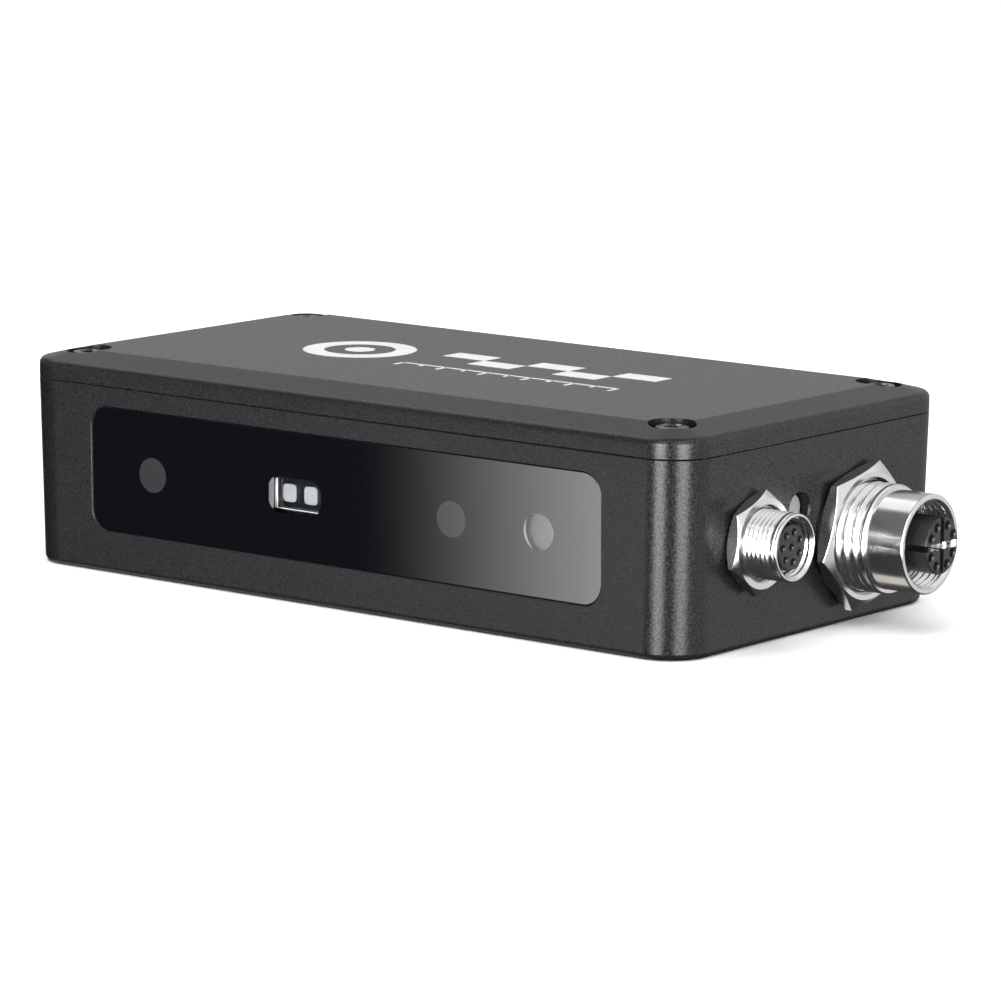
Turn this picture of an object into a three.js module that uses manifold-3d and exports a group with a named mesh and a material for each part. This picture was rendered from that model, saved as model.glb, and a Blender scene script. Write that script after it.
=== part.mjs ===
// An industrial depth camera: a die-cast box with a lift-off cover, two stereo imagers, a pattern
// projector and a colour camera behind one front window, and two round connectors on its right side.
// Millimetres. +X is right, +Y is back, +Z is up, and the origin is the middle of the bottom face.
import * as THREE from "three";
import { mergeVertices } from "three/addons/utils/BufferGeometryUtils.js";
import Module from "manifold-3d";

const wasm = await Module();
wasm.setup();

// ---- Driving dimensions ----
const DRAFT = THREE.MathUtils.degToRad(1.08); // the casting's side walls lean out towards the seam
const RUN = 0.3; // clearance between a piece and the pocket it drops into
const TOUCH = 0.05; // clearance between two pieces that rest on each other
const CORNER_STEPS = 5; // facets round each outer corner of the box
const ROUND = 24; // facets round a connector
const SMALL_ROUND = 12; // facets round a screw, post or pin

const BODY = {
  width: 123.2, // at the seam
  depth: 65.2, // at the seam
  seam: 28.2,
  height: 32.4,
  corner: 6.6,
  floor: 3.0,
  bottomEdge: 1.0,
  seamGap: 0.3,
};
const CAVITY = { width: 116.2, front: -28.4, back: 29.2, corner: 3.5 };
const RIM = BODY.seam - BODY.seamGap / 2; // top of the casting
const COVER = {
  bottom: BODY.seam + BODY.seamGap / 2,
  plateauInset: 5.8,
  roofUnderside: 30.2,
  cavityInset: 3.6,
  lipDepth: 1.5,
  lipWall: 1.2,
};
const COVER_SCREW = {
  inset: 7.2, // from both side walls
  headRadius: 2.5,
  headHeight: 1.6,
  shankRadius: 1.35,
  length: 8.2,
  recessRadius: 3.4,
  recessFloor: 30.2,
  socket: 2.5, // across flats
  bossRadius: 4.2,
};
const GASKET_GROOVE = { inset: 1.0, width: 1.3, depth: 1.0 };

const WINDOW = {
  width: 95.0,
  height: 18.9,
  corner: 3.2,
  thickness: 1.6,
  sink: 0.1, // below the front face
  centreZ: 15.76,
  openingWidth: 89,
  openingHeight: 13.6,
  gasketThickness: 0.3,
};
const OPTICS = { imagerX: [-35.6, 20.9], projectorX: -8.1, colourX: 36.5, boardFront: -22.6 };

const M12 = {
  y: 9.6,
  z: 12.8,
  nutFlats: 19,
  nutThickness: 2.5,
  nutFace: 9.2, // radius of the flat left between the nut's chamfers
  nutTurn: -17,
  threadRadius: 7.9,
  threadEnd: 6.6,
  noseRadius: 7.2,
  noseEnd: 12.7,
  boreRadius: 6.1,
  boreDepth: 5.1,
  flangeRadius: 9.4,
  rearRadius: 7.0,
  throatRadius: 5.4,
  sealWidth: 0.95,
  insertRadius: 4.1,
  insertFace: 14.7,
  contactCircle: 3.05,
  back: -11,
};
const M8 = {
  y: -15.7,
  z: 15.1,
  nutFlats: 13,
  nutThickness: 2.0,
  nutFace: 6.4,
  nutTurn: -8,
  threadRadius: 4.9,
  threadEnd: 6.2,
  noseRadius: 4.82,
  noseEnd: 7.1,
  boreRadius: 4.05,
  boreDepth: 2.9,
  flangeRadius: 5.9,
  rearRadius: 4.6,
  throatRadius: 3.5,
  sealWidth: 0.75,
  insertRadius: 3.3,
  insertFace: 6.45,
  contactCircle: 2.15,
  contactStart: 24,
  back: -9,
};
const BUTTON = { y: -4.3, z: 18.1, radius: 2.2, sink: 1.6, travel: 0.5, flangeRadius: 3.2 };
const WALL_INSIDE = CAVITY.width / 2 - BODY.width / 2; // the right wall's inner face, from the seam plane

const BOARD = { x: 48, front: -6, back: 27, bottom: 7.0, thickness: 1.6 };
const BOARD_TOP = BOARD.bottom + BOARD.thickness + TOUCH;
const BOARD_SCREWS = [[-43, -2], [43, -2], [-43, 23], [43, 23]];
const BRACKET = { x: 46, front: -21.3, thickness: 1.8, foot: 5.05, footDepth: 12, top: 25 };
const BRACKET_SCREWS = [[-40, -11.5], [40, -11.5]];
const BASE_HOLES = [[-36, -18], [36, -18], [-36, 18], [36, 18]]; // blind M4 holes in the bottom face
const BASE_HOLE = { radius: 1.65, depth: 3.6, bossTop: 4.6, bossRadius: 4.0 };

// ---- Materials ----
const finish = (color, roughness, metalness) =>
  new THREE.MeshStandardMaterial({ color, roughness, metalness });
const POWDER_COAT = finish(0x3a3b3d, 0.62, 0.2);
const GLOSS_BLACK = finish(0x101116, 0.08, 0.0);
const NICKEL = finish(0xc9c7c2, 0.2, 1.0);
const DARK_STEEL = finish(0x4a4b4e, 0.3, 1.0);
const ZINC_STEEL = finish(0xa9abae, 0.35, 1.0);
const ALUMINIUM = finish(0xb4b6b8, 0.4, 1.0);
const RUBBER = finish(0x151516, 0.85, 0.0);
const DARK_PLASTIC = finish(0x2a2b2d, 0.5, 0.0);
const GREY_PLASTIC = finish(0x8b8c8e, 0.45, 0.0);
const PALE_PLASTIC = finish(0xd9d8d0, 0.4, 0.0);
const PCB = finish(0x12402c, 0.4, 0.0);
const GOLD = finish(0xc9a24a, 0.25, 1.0);
const GLASS = finish(0x6c6e70, 0.1, 0.0);
const THERMAL = finish(0x8fa6b8, 0.9, 0.0);
const POLYIMIDE = finish(0xb06a1e, 0.35, 0.0);
const CABLE = finish(0x1b1b1d, 0.6, 0.0);

// ---- Solids: three.js geometry in, manifold-3d booleans, three.js geometry out ----
function solidOf(geometry) {
  const bare = new THREE.BufferGeometry();
  bare.setAttribute("position", geometry.getAttribute("position"));
  bare.setIndex(geometry.index);
  const merged = mergeVertices(bare, 1e-4);
  return new wasm.Manifold(
    new wasm.Mesh({
      numProp: 3,
      vertProperties: merged.attributes.position.array,
      triVerts: new Uint32Array(merged.index.array),
    }),
  );
}

function geometryOf(solid) {
  const { vertProperties, triVerts } = solid.getMesh();
  const indexed = new THREE.BufferGeometry();
  indexed.setAttribute("position", new THREE.BufferAttribute(new Float32Array(vertProperties), 3));
  indexed.setIndex(new THREE.BufferAttribute(new Uint32Array(triVerts), 1));
  const faceted = indexed.toNonIndexed();
  faceted.computeVertexNormals();
  return faceted;
}

// The first geometry with the add list joined to it, the cut list taken away and only what lies
// within the last geometry kept.
function carve(base, { add = [], cut = [], within = null }) {
  let solid = solidOf(base);
  for (const geometry of add) solid = solid.add(solidOf(geometry));
  for (const geometry of cut) solid = solid.subtract(solidOf(geometry));
  return geometryOf(within ? solid.intersect(solidOf(within)) : solid);
}

// ---- Shape helpers: every helper builds upwards from z = 0 unless it says otherwise ----
const at = (geometry, x, y, z) => geometry.translate(x, y, z);

// A closed solid through rounded rectangles, each { w, d, r, z }, listed from the bottom up.
function loft(rings, cornerSteps = 4) {
  const positions = [];
  for (const { w, d, r, z } of rings)
    for (const [sx, sy, start] of [[1, 1, 0], [-1, 1, 90], [-1, -1, 180], [1, -1, 270]])
      for (let i = 0; i <= cornerSteps; i++) {
        const angle = THREE.MathUtils.degToRad(start + (90 * i) / cornerSteps);
        const x = sx * (w / 2 - r) + r * Math.cos(angle);
        const y = sy * (d / 2 - r) + r * Math.sin(angle);
        positions.push(x, y, z);
      }
  const n = 4 * (cornerSteps + 1);
  const top = n * (rings.length - 1);
  const faces = [];
  for (let k = 0; k < top; k += n)
    for (let i = 0; i < n; i++) {
      const next = (i + 1) % n;
      faces.push(k + i, k + next, k + n + next, k + i, k + n + next, k + n + i);
    }
  for (let i = 1; i < n - 1; i++) faces.push(0, i + 1, i, top, top + i, top + i + 1);
  const geometry = new THREE.BufferGeometry();
  geometry.setAttribute("position", new THREE.Float32BufferAttribute(positions, 3));
  geometry.setIndex(faces);
  return geometry;
}

const slab = (w, d, h, r = 0.4, cornerSteps = 2) =>
  loft([{ w, d, r, z: 0 }, { w, d, r, z: h }], cornerSteps);

const drum = (radius, height, steps = SMALL_ROUND) =>
  at(new THREE.CylinderGeometry(radius, radius, height, steps).rotateX(Math.PI / 2), 0, 0, height / 2);

// A solid of revolution about Z. The profile, a list of [radius, z], runs anticlockwise and closes.
function turned(profile, steps = ROUND) {
  const points = [...profile, profile[0]].map(([r, z]) => new THREE.Vector2(r, z));
  return new THREE.LatheGeometry(points, steps).rotateX(Math.PI / 2);
}

const ring = (inner, outer, bottom, top, steps = ROUND) =>
  turned([[inner, bottom], [outer, bottom], [outer, top], [inner, top]], steps);

// A hexagonal prism, across flats, with one corner on +X.
const hexagon = (flats, height) => drum(flats / Math.sqrt(3), height, 6).rotateZ(Math.PI / 6);

const frameOf = (outer, inner, height) =>
  carve(slab(...outer, height, 3.0, 5), { cut: [at(slab(...inner, height + 2, 2.2, 5), 0, 0, -1)] });

// A round cable along smooth points.
function cable(points, radius) {
  const path = new THREE.CatmullRomCurve3(points.map((p) => new THREE.Vector3(...p)));
  const section = new THREE.Shape().absarc(0, 0, radius, 0, 2 * Math.PI);
  return new THREE.ExtrudeGeometry(section, { steps: 12, curveSegments: 4, extrudePath: path });
}

// A socket or pan head screw with its head's underside at z = 0.
function screw({ headRadius, headHeight, shankRadius, length, socket }) {
  const blank = turned(
    [
      [0, -length], [shankRadius * 0.7, -length], [shankRadius, -length + 0.5], [shankRadius, 0],
      [headRadius, 0], [headRadius, headHeight - 0.3], [headRadius - 0.3, headHeight], [0, headHeight],
    ],
    SMALL_ROUND,
  );
  return carve(blank, { cut: [at(hexagon(socket, headHeight), 0, 0, headHeight * 0.4)] });
}

// ---- The assembly: one group, with turned groups for what faces forward or to the right ----
const camera = new THREE.Group();

const forward = new THREE.Group(); // local +Z looks out of the front, local +Y is up
forward.position.set(0, OPTICS.boardFront, WINDOW.centreZ);
forward.rotation.x = Math.PI / 2;

// The front wall leans, so the window has a group of its own on that wall's outer face.
const drop = BODY.seam - WINDOW.centreZ;
const windowSeat = new THREE.Group();
windowSeat.position.set(0, -BODY.depth / 2 + drop * Math.tan(DRAFT), WINDOW.centreZ);
windowSeat.rotation.x = Math.PI / 2 + DRAFT;

function rightwards(y, z) {
  const group = new THREE.Group(); // local +Z looks out of the right side, from the seam's plane
  group.position.set(BODY.width / 2, y, z);
  group.rotation.y = Math.PI / 2;
  return group;
}
const m12Seat = rightwards(M12.y, M12.z);
const m8Seat = rightwards(M8.y, M8.z);
const buttonSeat = rightwards(BUTTON.y, BUTTON.z);
camera.add(forward, windowSeat, m12Seat, m8Seat, buttonSeat);
camera.updateMatrixWorld(true);

function piece(name, material, geometry, parent = camera, position = [0, 0, 0]) {
  const mesh = new THREE.Mesh(geometry, material);
  mesh.name = name;
  mesh.position.set(...position);
  parent.add(mesh);
  return mesh;
}

// A tool drawn in a turned group, brought into the camera's own frame.
const inSeat = (geometry, seat) => geometry.applyMatrix4(seat.matrixWorld);

const coverScrewPlaces = {
  front_left: [-1, -1],
  front_right: [1, -1],
  rear_left: [-1, 1],
  rear_right: [1, 1],
};
const coverScrewXY = ([sx, sy]) => [
  sx * (BODY.width / 2 - COVER_SCREW.inset),
  sy * (BODY.depth / 2 - COVER_SCREW.inset),
];

// ---- Casting ----
// The box's outline at the seam, stepped in by inset, as a block.
const plan = (inset, height) =>
  slab(BODY.width - 2 * inset, BODY.depth - 2 * inset, height, BODY.corner - inset, CORNER_STEPS);

function housing() {
  const lean = 2 * Math.tan(DRAFT);
  const ringAt = (z, inset) => ({
    w: BODY.width - (BODY.seam - z) * lean - 2 * inset,
    d: BODY.depth - (BODY.seam - z) * lean - 2 * inset,
    r: BODY.corner - inset,
    z,
  });
  const edge = BODY.bottomEdge;
  const shell = loft(
    [ringAt(0, edge), ringAt(edge * 0.3, edge * 0.3), ringAt(edge, 0), ringAt(RIM, 0)],
    CORNER_STEPS,
  );

  const cavityDepth = CAVITY.back - CAVITY.front;
  const cavityY = (CAVITY.back + CAVITY.front) / 2;
  const cavity = slab(CAVITY.width, cavityDepth, BODY.height, CAVITY.corner, 4);
  let hollow = carve(shell, { cut: [at(cavity, 0, cavityY, BODY.floor)] });

  // Bosses sink a little into the floor and walls so that they join them.
  const sunk = 0.5;
  const post = (x, y, radius, top) => at(drum(radius, top - BODY.floor + sunk), x, y, BODY.floor - sunk);
  const boss = COVER_SCREW.bossRadius;
  hollow = carve(hollow, {
    add: [
      ...Object.values(coverScrewPlaces).map((c) => post(...coverScrewXY(c), boss, RIM)),
      ...BOARD_SCREWS.map(([x, y]) => post(x, y, 3, BOARD.bottom - TOUCH)),
      ...BRACKET_SCREWS.map(([x, y]) => post(x, y, 3, BRACKET.foot - TOUCH)),
      ...BASE_HOLES.map(([x, y]) => post(x, y, BASE_HOLE.bossRadius, BASE_HOLE.bossTop)),
    ],
  });

  const { inset, width, depth } = GASKET_GROOVE;
  const grooveRing = carve(plan(inset, depth + 1), { cut: [at(plan(inset + width, depth + 3), 0, 0, -1)] });

  const paneSeat = slab(WINDOW.width + 0.6, WINDOW.height + 0.6, 6, WINDOW.corner + 0.3, 5);
  const opening = slab(WINDOW.openingWidth, WINDOW.openingHeight, 12, 2.5, 4);
  const seatDepth = WINDOW.sink + WINDOW.thickness + WINDOW.gasketThickness + 0.1;
  const screwHole = (x, y, radius, bottom) => at(drum(radius, BODY.height), x, y, bottom);
  const round = (radius, bottom, length, seat) => inSeat(at(drum(radius, length, ROUND), 0, 0, bottom), seat);
  return carve(hollow, {
    cut: [
      at(grooveRing, 0, 0, RIM - depth),
      inSeat(at(paneSeat, 0, 0, -seatDepth), windowSeat),
      inSeat(at(opening, 0, 0, -8), windowSeat),
      round(M12.threadRadius + 0.4, -6, 9, m12Seat),
      round(M12.threadRadius + M12.sealWidth + 0.65, -1.4, 4, m12Seat),
      round(M8.threadRadius + 0.4, -6, 9, m8Seat),
      round(M8.threadRadius + M8.sealWidth + 0.65, -1.4, 4, m8Seat),
      round(BUTTON.radius + 0.2, -6, 9, buttonSeat),
      ...Object.values(coverScrewPlaces).map((c) =>
        screwHole(...coverScrewXY(c), COVER_SCREW.shankRadius + RUN, 20),
      ),
      ...BOARD_SCREWS.map(([x, y]) => screwHole(x, y, 1.4, BODY.floor)),
      ...BRACKET_SCREWS.map(([x, y]) => screwHole(x, y, 1.4, BODY.floor)),
      ...BASE_HOLES.map(([x, y]) => at(drum(BASE_HOLE.radius, BASE_HOLE.depth + 1), x, y, -1)),
    ],
  });
}

function topCover() {
  const outline = (inset, z) => ({
    w: BODY.width - 2 * inset,
    d: BODY.depth - 2 * inset,
    r: Math.max(BODY.corner - inset, 1.2),
    z,
  });
  const skirtTop = 30.4;
  const plate = loft(
    [
      outline(0.25, COVER.bottom),
      outline(0, COVER.bottom + 0.25),
      outline(0, skirtTop),
      outline(0.15, skirtTop + 0.4),
      outline(0.55, skirtTop + 0.7),
      outline(1.2, skirtTop + 0.88),
      outline(COVER.plateauInset, BODY.height),
    ],
    CORNER_STEPS,
  );
  const inner = outline(COVER.cavityInset, 0);
  const cavity = slab(inner.w, inner.d, COVER.roofUnderside - COVER.bottom + 1, 3, 4);

  // The locating lip drops into the casting's mouth and is cut away round the corner bosses.
  const lipOuter = [CAVITY.width - 0.6, CAVITY.back - CAVITY.front - 0.6];
  const lipInner = lipOuter.map((size) => size - 2 * COVER.lipWall);
  const lipY = (CAVITY.back + CAVITY.front) / 2;
  const lipHeight = COVER.lipDepth + COVER.roofUnderside - COVER.bottom + 0.2;
  const lip = carve(slab(...lipOuter, lipHeight, CAVITY.corner, 4), {
    cut: [
      at(slab(...lipInner, lipHeight + 2, 2.4, 4), 0, 0, -1),
      ...Object.values(coverScrewPlaces).map((c) => {
        const [x, y] = coverScrewXY(c);
        return at(drum(COVER_SCREW.bossRadius + 1.2, lipHeight + 2), x, y - lipY, -1);
      }),
    ],
  });

  const corners = Object.values(coverScrewPlaces).map(coverScrewXY);
  const hollow = carve(plate, { cut: [at(cavity, 0, 0, COVER.bottom - 1)] });
  return carve(hollow, {
    add: [
      at(lip, 0, lipY, COVER.bottom - COVER.lipDepth),
      ...corners.map(([x, y]) => at(drum(COVER_SCREW.bossRadius, 2.4), x, y, COVER.bottom)),
    ],
    cut: [
      ...corners.map(([x, y]) => at(drum(COVER_SCREW.recessRadius, 4, ROUND), x, y, COVER_SCREW.recessFloor)),
      ...corners.map(([x, y]) => at(drum(COVER_SCREW.shankRadius + RUN, 6), x, y, COVER.bottom - 1)),
    ],
  });
}

function coverGasket() {
  const slack = 0.15;
  const inset = GASKET_GROOVE.inset + slack;
  const inner = GASKET_GROOVE.inset + GASKET_GROOVE.width - slack;
  const height = GASKET_GROOVE.depth + BODY.seamGap - 0.1;
  return carve(plan(inset, height), { cut: [at(plan(inner, height + 2), 0, 0, -1)] });
}

piece("housing", POWDER_COAT, housing());
piece("cover_gasket", RUBBER, coverGasket(), camera, [0, 0, RIM - GASKET_GROOVE.depth + TOUCH]);
piece("top_cover", POWDER_COAT, topCover());
for (const [place, corner] of Object.entries(coverScrewPlaces))
  piece("cover_screw_" + place, DARK_STEEL, screw(COVER_SCREW), camera, [
    ...coverScrewXY(corner),
    COVER_SCREW.recessFloor + TOUCH,
  ]);

// ---- Window ----
const paneBack = -(WINDOW.sink + WINDOW.thickness);
piece(
  "front_window",
  GLOSS_BLACK,
  loft(
    [
      { w: WINDOW.width, d: WINDOW.height, r: WINDOW.corner, z: paneBack },
      { w: WINDOW.width, d: WINDOW.height, r: WINDOW.corner, z: -WINDOW.sink - 0.2 },
      { w: WINDOW.width - 0.4, d: WINDOW.height - 0.4, r: WINDOW.corner - 0.2, z: -WINDOW.sink },
    ],
    5,
  ),
  windowSeat,
);
piece(
  "window_gasket",
  RUBBER,
  frameOf(
    [WINDOW.width - 0.4, WINDOW.height - 0.4],
    [WINDOW.openingWidth + 0.8, WINDOW.openingHeight + 0.8],
    WINDOW.gasketThickness - TOUCH,
  ),
  windowSeat,
  [0, 0, paneBack - WINDOW.gasketThickness],
);

// ---- Optical assembly: bracket, sensor board, two imagers, projector, colour camera ----
function stereoBracket() {
  const width = 2 * BRACKET.x;
  const plateHeight = BRACKET.top - BRACKET.foot;
  const plate = slab(width, BRACKET.thickness, plateHeight, 0.4);
  const footY = (BRACKET.footDepth - BRACKET.thickness) / 2;
  const foot = at(slab(width, BRACKET.footDepth, 1.5, 1.2), 0, footY, 0);
  const plateY = BRACKET.front + BRACKET.thickness / 2;
  const plateSlot = at(slab(18, 6, 8, 1.0), -22, 0, 7);
  const holes = BRACKET_SCREWS.map(([x, y]) => at(drum(1.4, 6), x, y - plateY, -2));
  const relief = [-18, 18].map((x) => at(slab(14, 5, 4, 1.5), x, BRACKET.footDepth - 1, -1));
  return at(carve(plate, { add: [foot], cut: [plateSlot, ...holes, ...relief] }), 0, plateY, BRACKET.foot);
}

// A square lens holder with a round seat for its barrel.
function holder(size, height, seatRadius) {
  return carve(slab(size, size, height, 0.8), { cut: [at(drum(seatRadius, 2), 0, 0, height - 0.6)] });
}

// A lens barrel whose front glass is a shallow dome inside a raised rim.
function barrel(radius, length) {
  const glass = radius * 0.72;
  return turned(
    [
      [0, 0], [radius, 0], [radius, length - 0.3], [radius - 0.3, length],
      [glass, length], [glass, length - 0.5], [glass * 0.5, length - 0.3], [0, length - 0.2],
    ],
    SMALL_ROUND,
  );
}

const PROJECTOR = { height: 7.5, pocketFloor: 6.35, emitterX: [-3.1, 0.9], emitterY: -0.2 };
function projectorHousing() {
  return carve(slab(14, 9, PROJECTOR.height, 0.8), {
    cut: [at(slab(10.2, 5.8, 3, 2.1, 4), 0, 0, PROJECTOR.pocketFloor)],
  });
}

piece("stereo_bracket", ALUMINIUM, stereoBracket());
const sensorBoard = at(slab(2 * BRACKET.x, 18, 1.2, 1.0), 0, 0.3, -1.2);
piece("stereo_board", PCB, sensorBoard, forward);
for (const [side, x] of [["left", OPTICS.imagerX[0]], ["right", OPTICS.imagerX[1]]]) {
  piece(side + "_imager_holder", DARK_PLASTIC, holder(8.6, 4.2, 3.3), forward, [x, 0, TOUCH]);
  piece(side + "_imager_lens", GLASS, barrel(3.1, 3.9), forward, [x, 0, 3.7]);
}
piece("colour_camera_holder", DARK_PLASTIC, holder(9.6, 3.6, 3.6), forward, [OPTICS.colourX, 0, TOUCH]);
piece("colour_camera_lens", GLASS, barrel(3.4, 4.5), forward, [OPTICS.colourX, 0, 3.1]);
const projectorAt = (x, y, z) => [OPTICS.projectorX + x, y, z];
piece("projector_housing", DARK_PLASTIC, projectorHousing(), forward, projectorAt(0, 0, TOUCH));
PROJECTOR.emitterX.forEach((x, i) =>
  piece(
    "projector_emitter_" + ["left", "right"][i],
    PALE_PLASTIC,
    slab(2.6, 2.6, 0.5, 0.7, 3),
    forward,
    projectorAt(x, PROJECTOR.emitterY, PROJECTOR.pocketFloor + 2 * TOUCH),
  ),
);
piece(
  "projector_glass",
  GLASS,
  slab(9.8, 5.4, 0.4, 1.9, 4),
  forward,
  projectorAt(0, 0, PROJECTOR.pocketFloor + 0.75),
);

// ---- Electronics ----
function mainBoard() {
  const depth = BOARD.back - BOARD.front;
  const middle = (BOARD.back + BOARD.front) / 2;
  const holes = BOARD_SCREWS.map(([x, y]) => at(drum(1.4, 6), x, y - middle, -2));
  return at(carve(slab(2 * BOARD.x, depth, BOARD.thickness, 1.5), { cut: holes }), 0, middle, BOARD.bottom);
}

// A block with a waist, which carries heat from the processor up to the cover.
function heatSpreader() {
  return carve(slab(34, 28, 3, 1), {
    add: [at(slab(22, 16, 12, 1), 0, 0, 2), at(slab(30, 24, 3.2, 1), 0, 0, 13.6)],
  });
}

const inductor = () => loft(
  [{ w: 7, d: 7, r: 1.6, z: 0 }, { w: 7, d: 7, r: 1.6, z: 3.4 }, { w: 6, d: 6, r: 1.4, z: 4 }],
  3,
);
const electrolytic = () => turned(
  [[0, 0], [3.1, 0], [3.1, 1.1], [2.9, 1.4], [3.1, 1.7], [3.1, 7.2], [2.8, 7.6], [0, 7.6]],
  SMALL_ROUND,
);

const PROCESSOR = [-14, 12];
piece("main_board", PCB, mainBoard());
piece("vision_processor", DARK_PLASTIC, slab(16, 16, 1.4, 0.5), camera, [...PROCESSOR, BOARD_TOP]);
piece("processor_pad", THERMAL, slab(14, 14, 1.0, 0.5), camera, [...PROCESSOR, BOARD_TOP + 1.45]);
piece("heat_spreader", ALUMINIUM, heatSpreader(), camera, [...PROCESSOR, BOARD_TOP + 2.5]);
piece("cover_gap_pad", THERMAL, slab(27, 21, 2.1, 0.8), camera, [...PROCESSOR, BOARD_TOP + 19.35]);
piece("memory_chip_1", DARK_PLASTIC, slab(9, 11, 1.1, 0.3), camera, [10, 5, BOARD_TOP]);
piece("memory_chip_2", DARK_PLASTIC, slab(9, 11, 1.1, 0.3), camera, [10, 19, BOARD_TOP]);
piece("flash_chip", DARK_PLASTIC, slab(8, 6, 1.0, 0.3), camera, [-37, 18, BOARD_TOP]);
piece("ethernet_magnetics", DARK_PLASTIC, slab(12, 9, 6, 0.5), camera, [24, 18, BOARD_TOP]);
piece("power_inductor", DARK_PLASTIC, inductor(), camera, [24, 4, BOARD_TOP]);
piece("capacitor_1", ALUMINIUM, electrolytic(), camera, [-38, 4, BOARD_TOP]);
piece("capacitor_2", ALUMINIUM, electrolytic(), camera, [-38, 11, BOARD_TOP]);
piece("m12_header", PALE_PLASTIC, slab(6, 8, 4.4, 0.4), camera, [36, 9.6, BOARD_TOP]);
piece("m8_header", PALE_PLASTIC, slab(6, 5, 4.0, 0.4), camera, [36, 1.2, BOARD_TOP]);

const BOARD_SCREW = { headRadius: 2.3, headHeight: 1.5, shankRadius: 1.1, length: 4.4, socket: 2.0 };
BOARD_SCREWS.forEach(([x, y], i) =>
  piece("board_screw_" + (i + 1), ZINC_STEEL, screw(BOARD_SCREW), camera, [x, y, BOARD_TOP]),
);
const BRACKET_SCREW = { ...BOARD_SCREW, length: 3.2 };
BRACKET_SCREWS.forEach(([x, y], i) =>
  piece("bracket_screw_" + ["left", "right"][i], ZINC_STEEL, screw(BRACKET_SCREW), camera, [
    x, y, BRACKET.foot + 1.5 + TOUCH,
  ]),
);

// ---- Flat flex between the two boards ----
const FLEX = { x: -22, width: 12, thickness: 0.3 };
piece("flex_socket_stereo", DARK_PLASTIC, slab(14, 4.4, 1.6, 0.4), forward, [FLEX.x, 0, -2.9]);
piece("flex_socket_main", DARK_PLASTIC, slab(14, 4, 1.8, 0.4), camera, [FLEX.x, -2.6, BOARD_TOP]);
function flexCable() {
  const socketBack = OPTICS.boardFront + 2.9 + TOUCH;
  const start = new THREE.Vector3(FLEX.x, socketBack, WINDOW.centreZ);
  const end = new THREE.Vector3(FLEX.x, -5.0, BOARD_TOP + 0.9);
  const pull = new THREE.Vector3(0, 7.5, 0);
  const path = new THREE.CubicBezierCurve3(start, start.clone().add(pull), end.clone().sub(pull), end);
  const strip = new THREE.Shape();
  const [w, t] = [FLEX.width / 2, FLEX.thickness / 2];
  strip.moveTo(-w, -t).lineTo(w, -t).lineTo(w, t).lineTo(-w, t).closePath();
  return new THREE.ExtrudeGeometry(strip, { steps: 10, extrudePath: path });
}
piece("flex_cable", POLYIMIDE, flexCable());

// ---- Connectors, drawn along their own axis with z = 0 at the seam's plane ----
// The flange bears on the wall's inner face and the nut pulls it tight from outside.
function connectorShell(c) {
  const flangeFront = WALL_INSIDE - 0.1;
  const flangeBack = flangeFront - 1.6;
  const boreEnd = c.noseEnd - c.boreDepth;
  return turned([
    [c.throatRadius, c.back], [c.rearRadius, c.back], [c.rearRadius, flangeBack],
    [c.flangeRadius, flangeBack], [c.flangeRadius, flangeFront], [c.threadRadius, flangeFront],
    [c.threadRadius, c.threadEnd], [c.noseRadius, c.threadEnd], [c.noseRadius, c.noseEnd - 0.3],
    [c.noseRadius - 0.3, c.noseEnd], [c.boreRadius + 0.2, c.noseEnd], [c.boreRadius, c.noseEnd - 0.3],
    [c.boreRadius, boreEnd], [c.throatRadius, boreEnd],
  ]);
}

const NUT_CHAMFER = THREE.MathUtils.degToRad(22);
function lockNut({ nutFlats, nutThickness, nutFace, threadRadius, nutTurn }) {
  const blank = hexagon(nutFlats, nutThickness).rotateZ(THREE.MathUtils.degToRad(nutTurn));
  const reach = nutFlats / Math.sqrt(3) + 0.2;
  const fall = (reach - nutFace) * Math.tan(NUT_CHAMFER);
  const envelope = turned([
    [0, 0], [nutFace, 0], [reach, fall], [reach, nutThickness - fall], [nutFace, nutThickness],
    [0, nutThickness],
  ]);
  const bore = at(drum(threadRadius + RUN, nutThickness + 2, ROUND), 0, 0, -1);
  return carve(blank, { cut: [bore], within: envelope });
}

const polar = (radius, degrees) => {
  const angle = THREE.MathUtils.degToRad(degrees);
  return [radius * Math.cos(angle), radius * Math.sin(angle)];
};

// The larger connector's eight contacts sit in pairs, one pair in each quarter.
const m12Contacts = [45, 135, 225, 315].flatMap((quarter) =>
  [-19, 19].map((side) => polar(M12.contactCircle, quarter + side)),
);
// The smaller one has seven contacts round a centre contact. Angles run from the back wall upwards.
const m8Contacts = [[0, 0]];
for (let i = 0; i < 7; i++) m8Contacts.push(polar(M8.contactCircle, 90 + M8.contactStart + (i * 360) / 7));

function m12Insert() {
  const collarEnd = M12.noseEnd - M12.boreDepth - 0.2;
  const collar = at(drum(5.2, collarEnd + 9, ROUND), 0, 0, -9);
  const face = M12.insertFace;
  const nose = at(drum(M12.insertRadius, face - collarEnd + 1, ROUND), 0, 0, collarEnd - 1);
  const slotDepth = 5;
  const slots = [[0.9, 12], [12, 0.9]].map((size) => at(slab(...size, 8, 0.1, 1), 0, 0, face - slotDepth));
  const holes = m12Contacts.map(([x, y]) => at(drum(0.58, face + 12, 6), x, y, -10));
  return carve(collar, { add: [nose], cut: [...slots, ...holes] });
}

function m8Insert() {
  const holes = m8Contacts.map(([x, y]) => at(drum(0.42, 20, 6), x, y, -8));
  return carve(at(drum(M8.insertRadius, M8.insertFace + 7, ROUND), 0, 0, -7), { cut: holes });
}

// Contacts stand on a potted disc behind the insert.
function contactSet(contacts, discRadius, back, top, contactRadius) {
  const rods = contacts.map(([x, y]) => at(drum(contactRadius, top - back - 1, 4), x, y, back + 1));
  return carve(at(drum(discRadius, 1.7), 0, 0, back), { add: rods });
}

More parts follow.
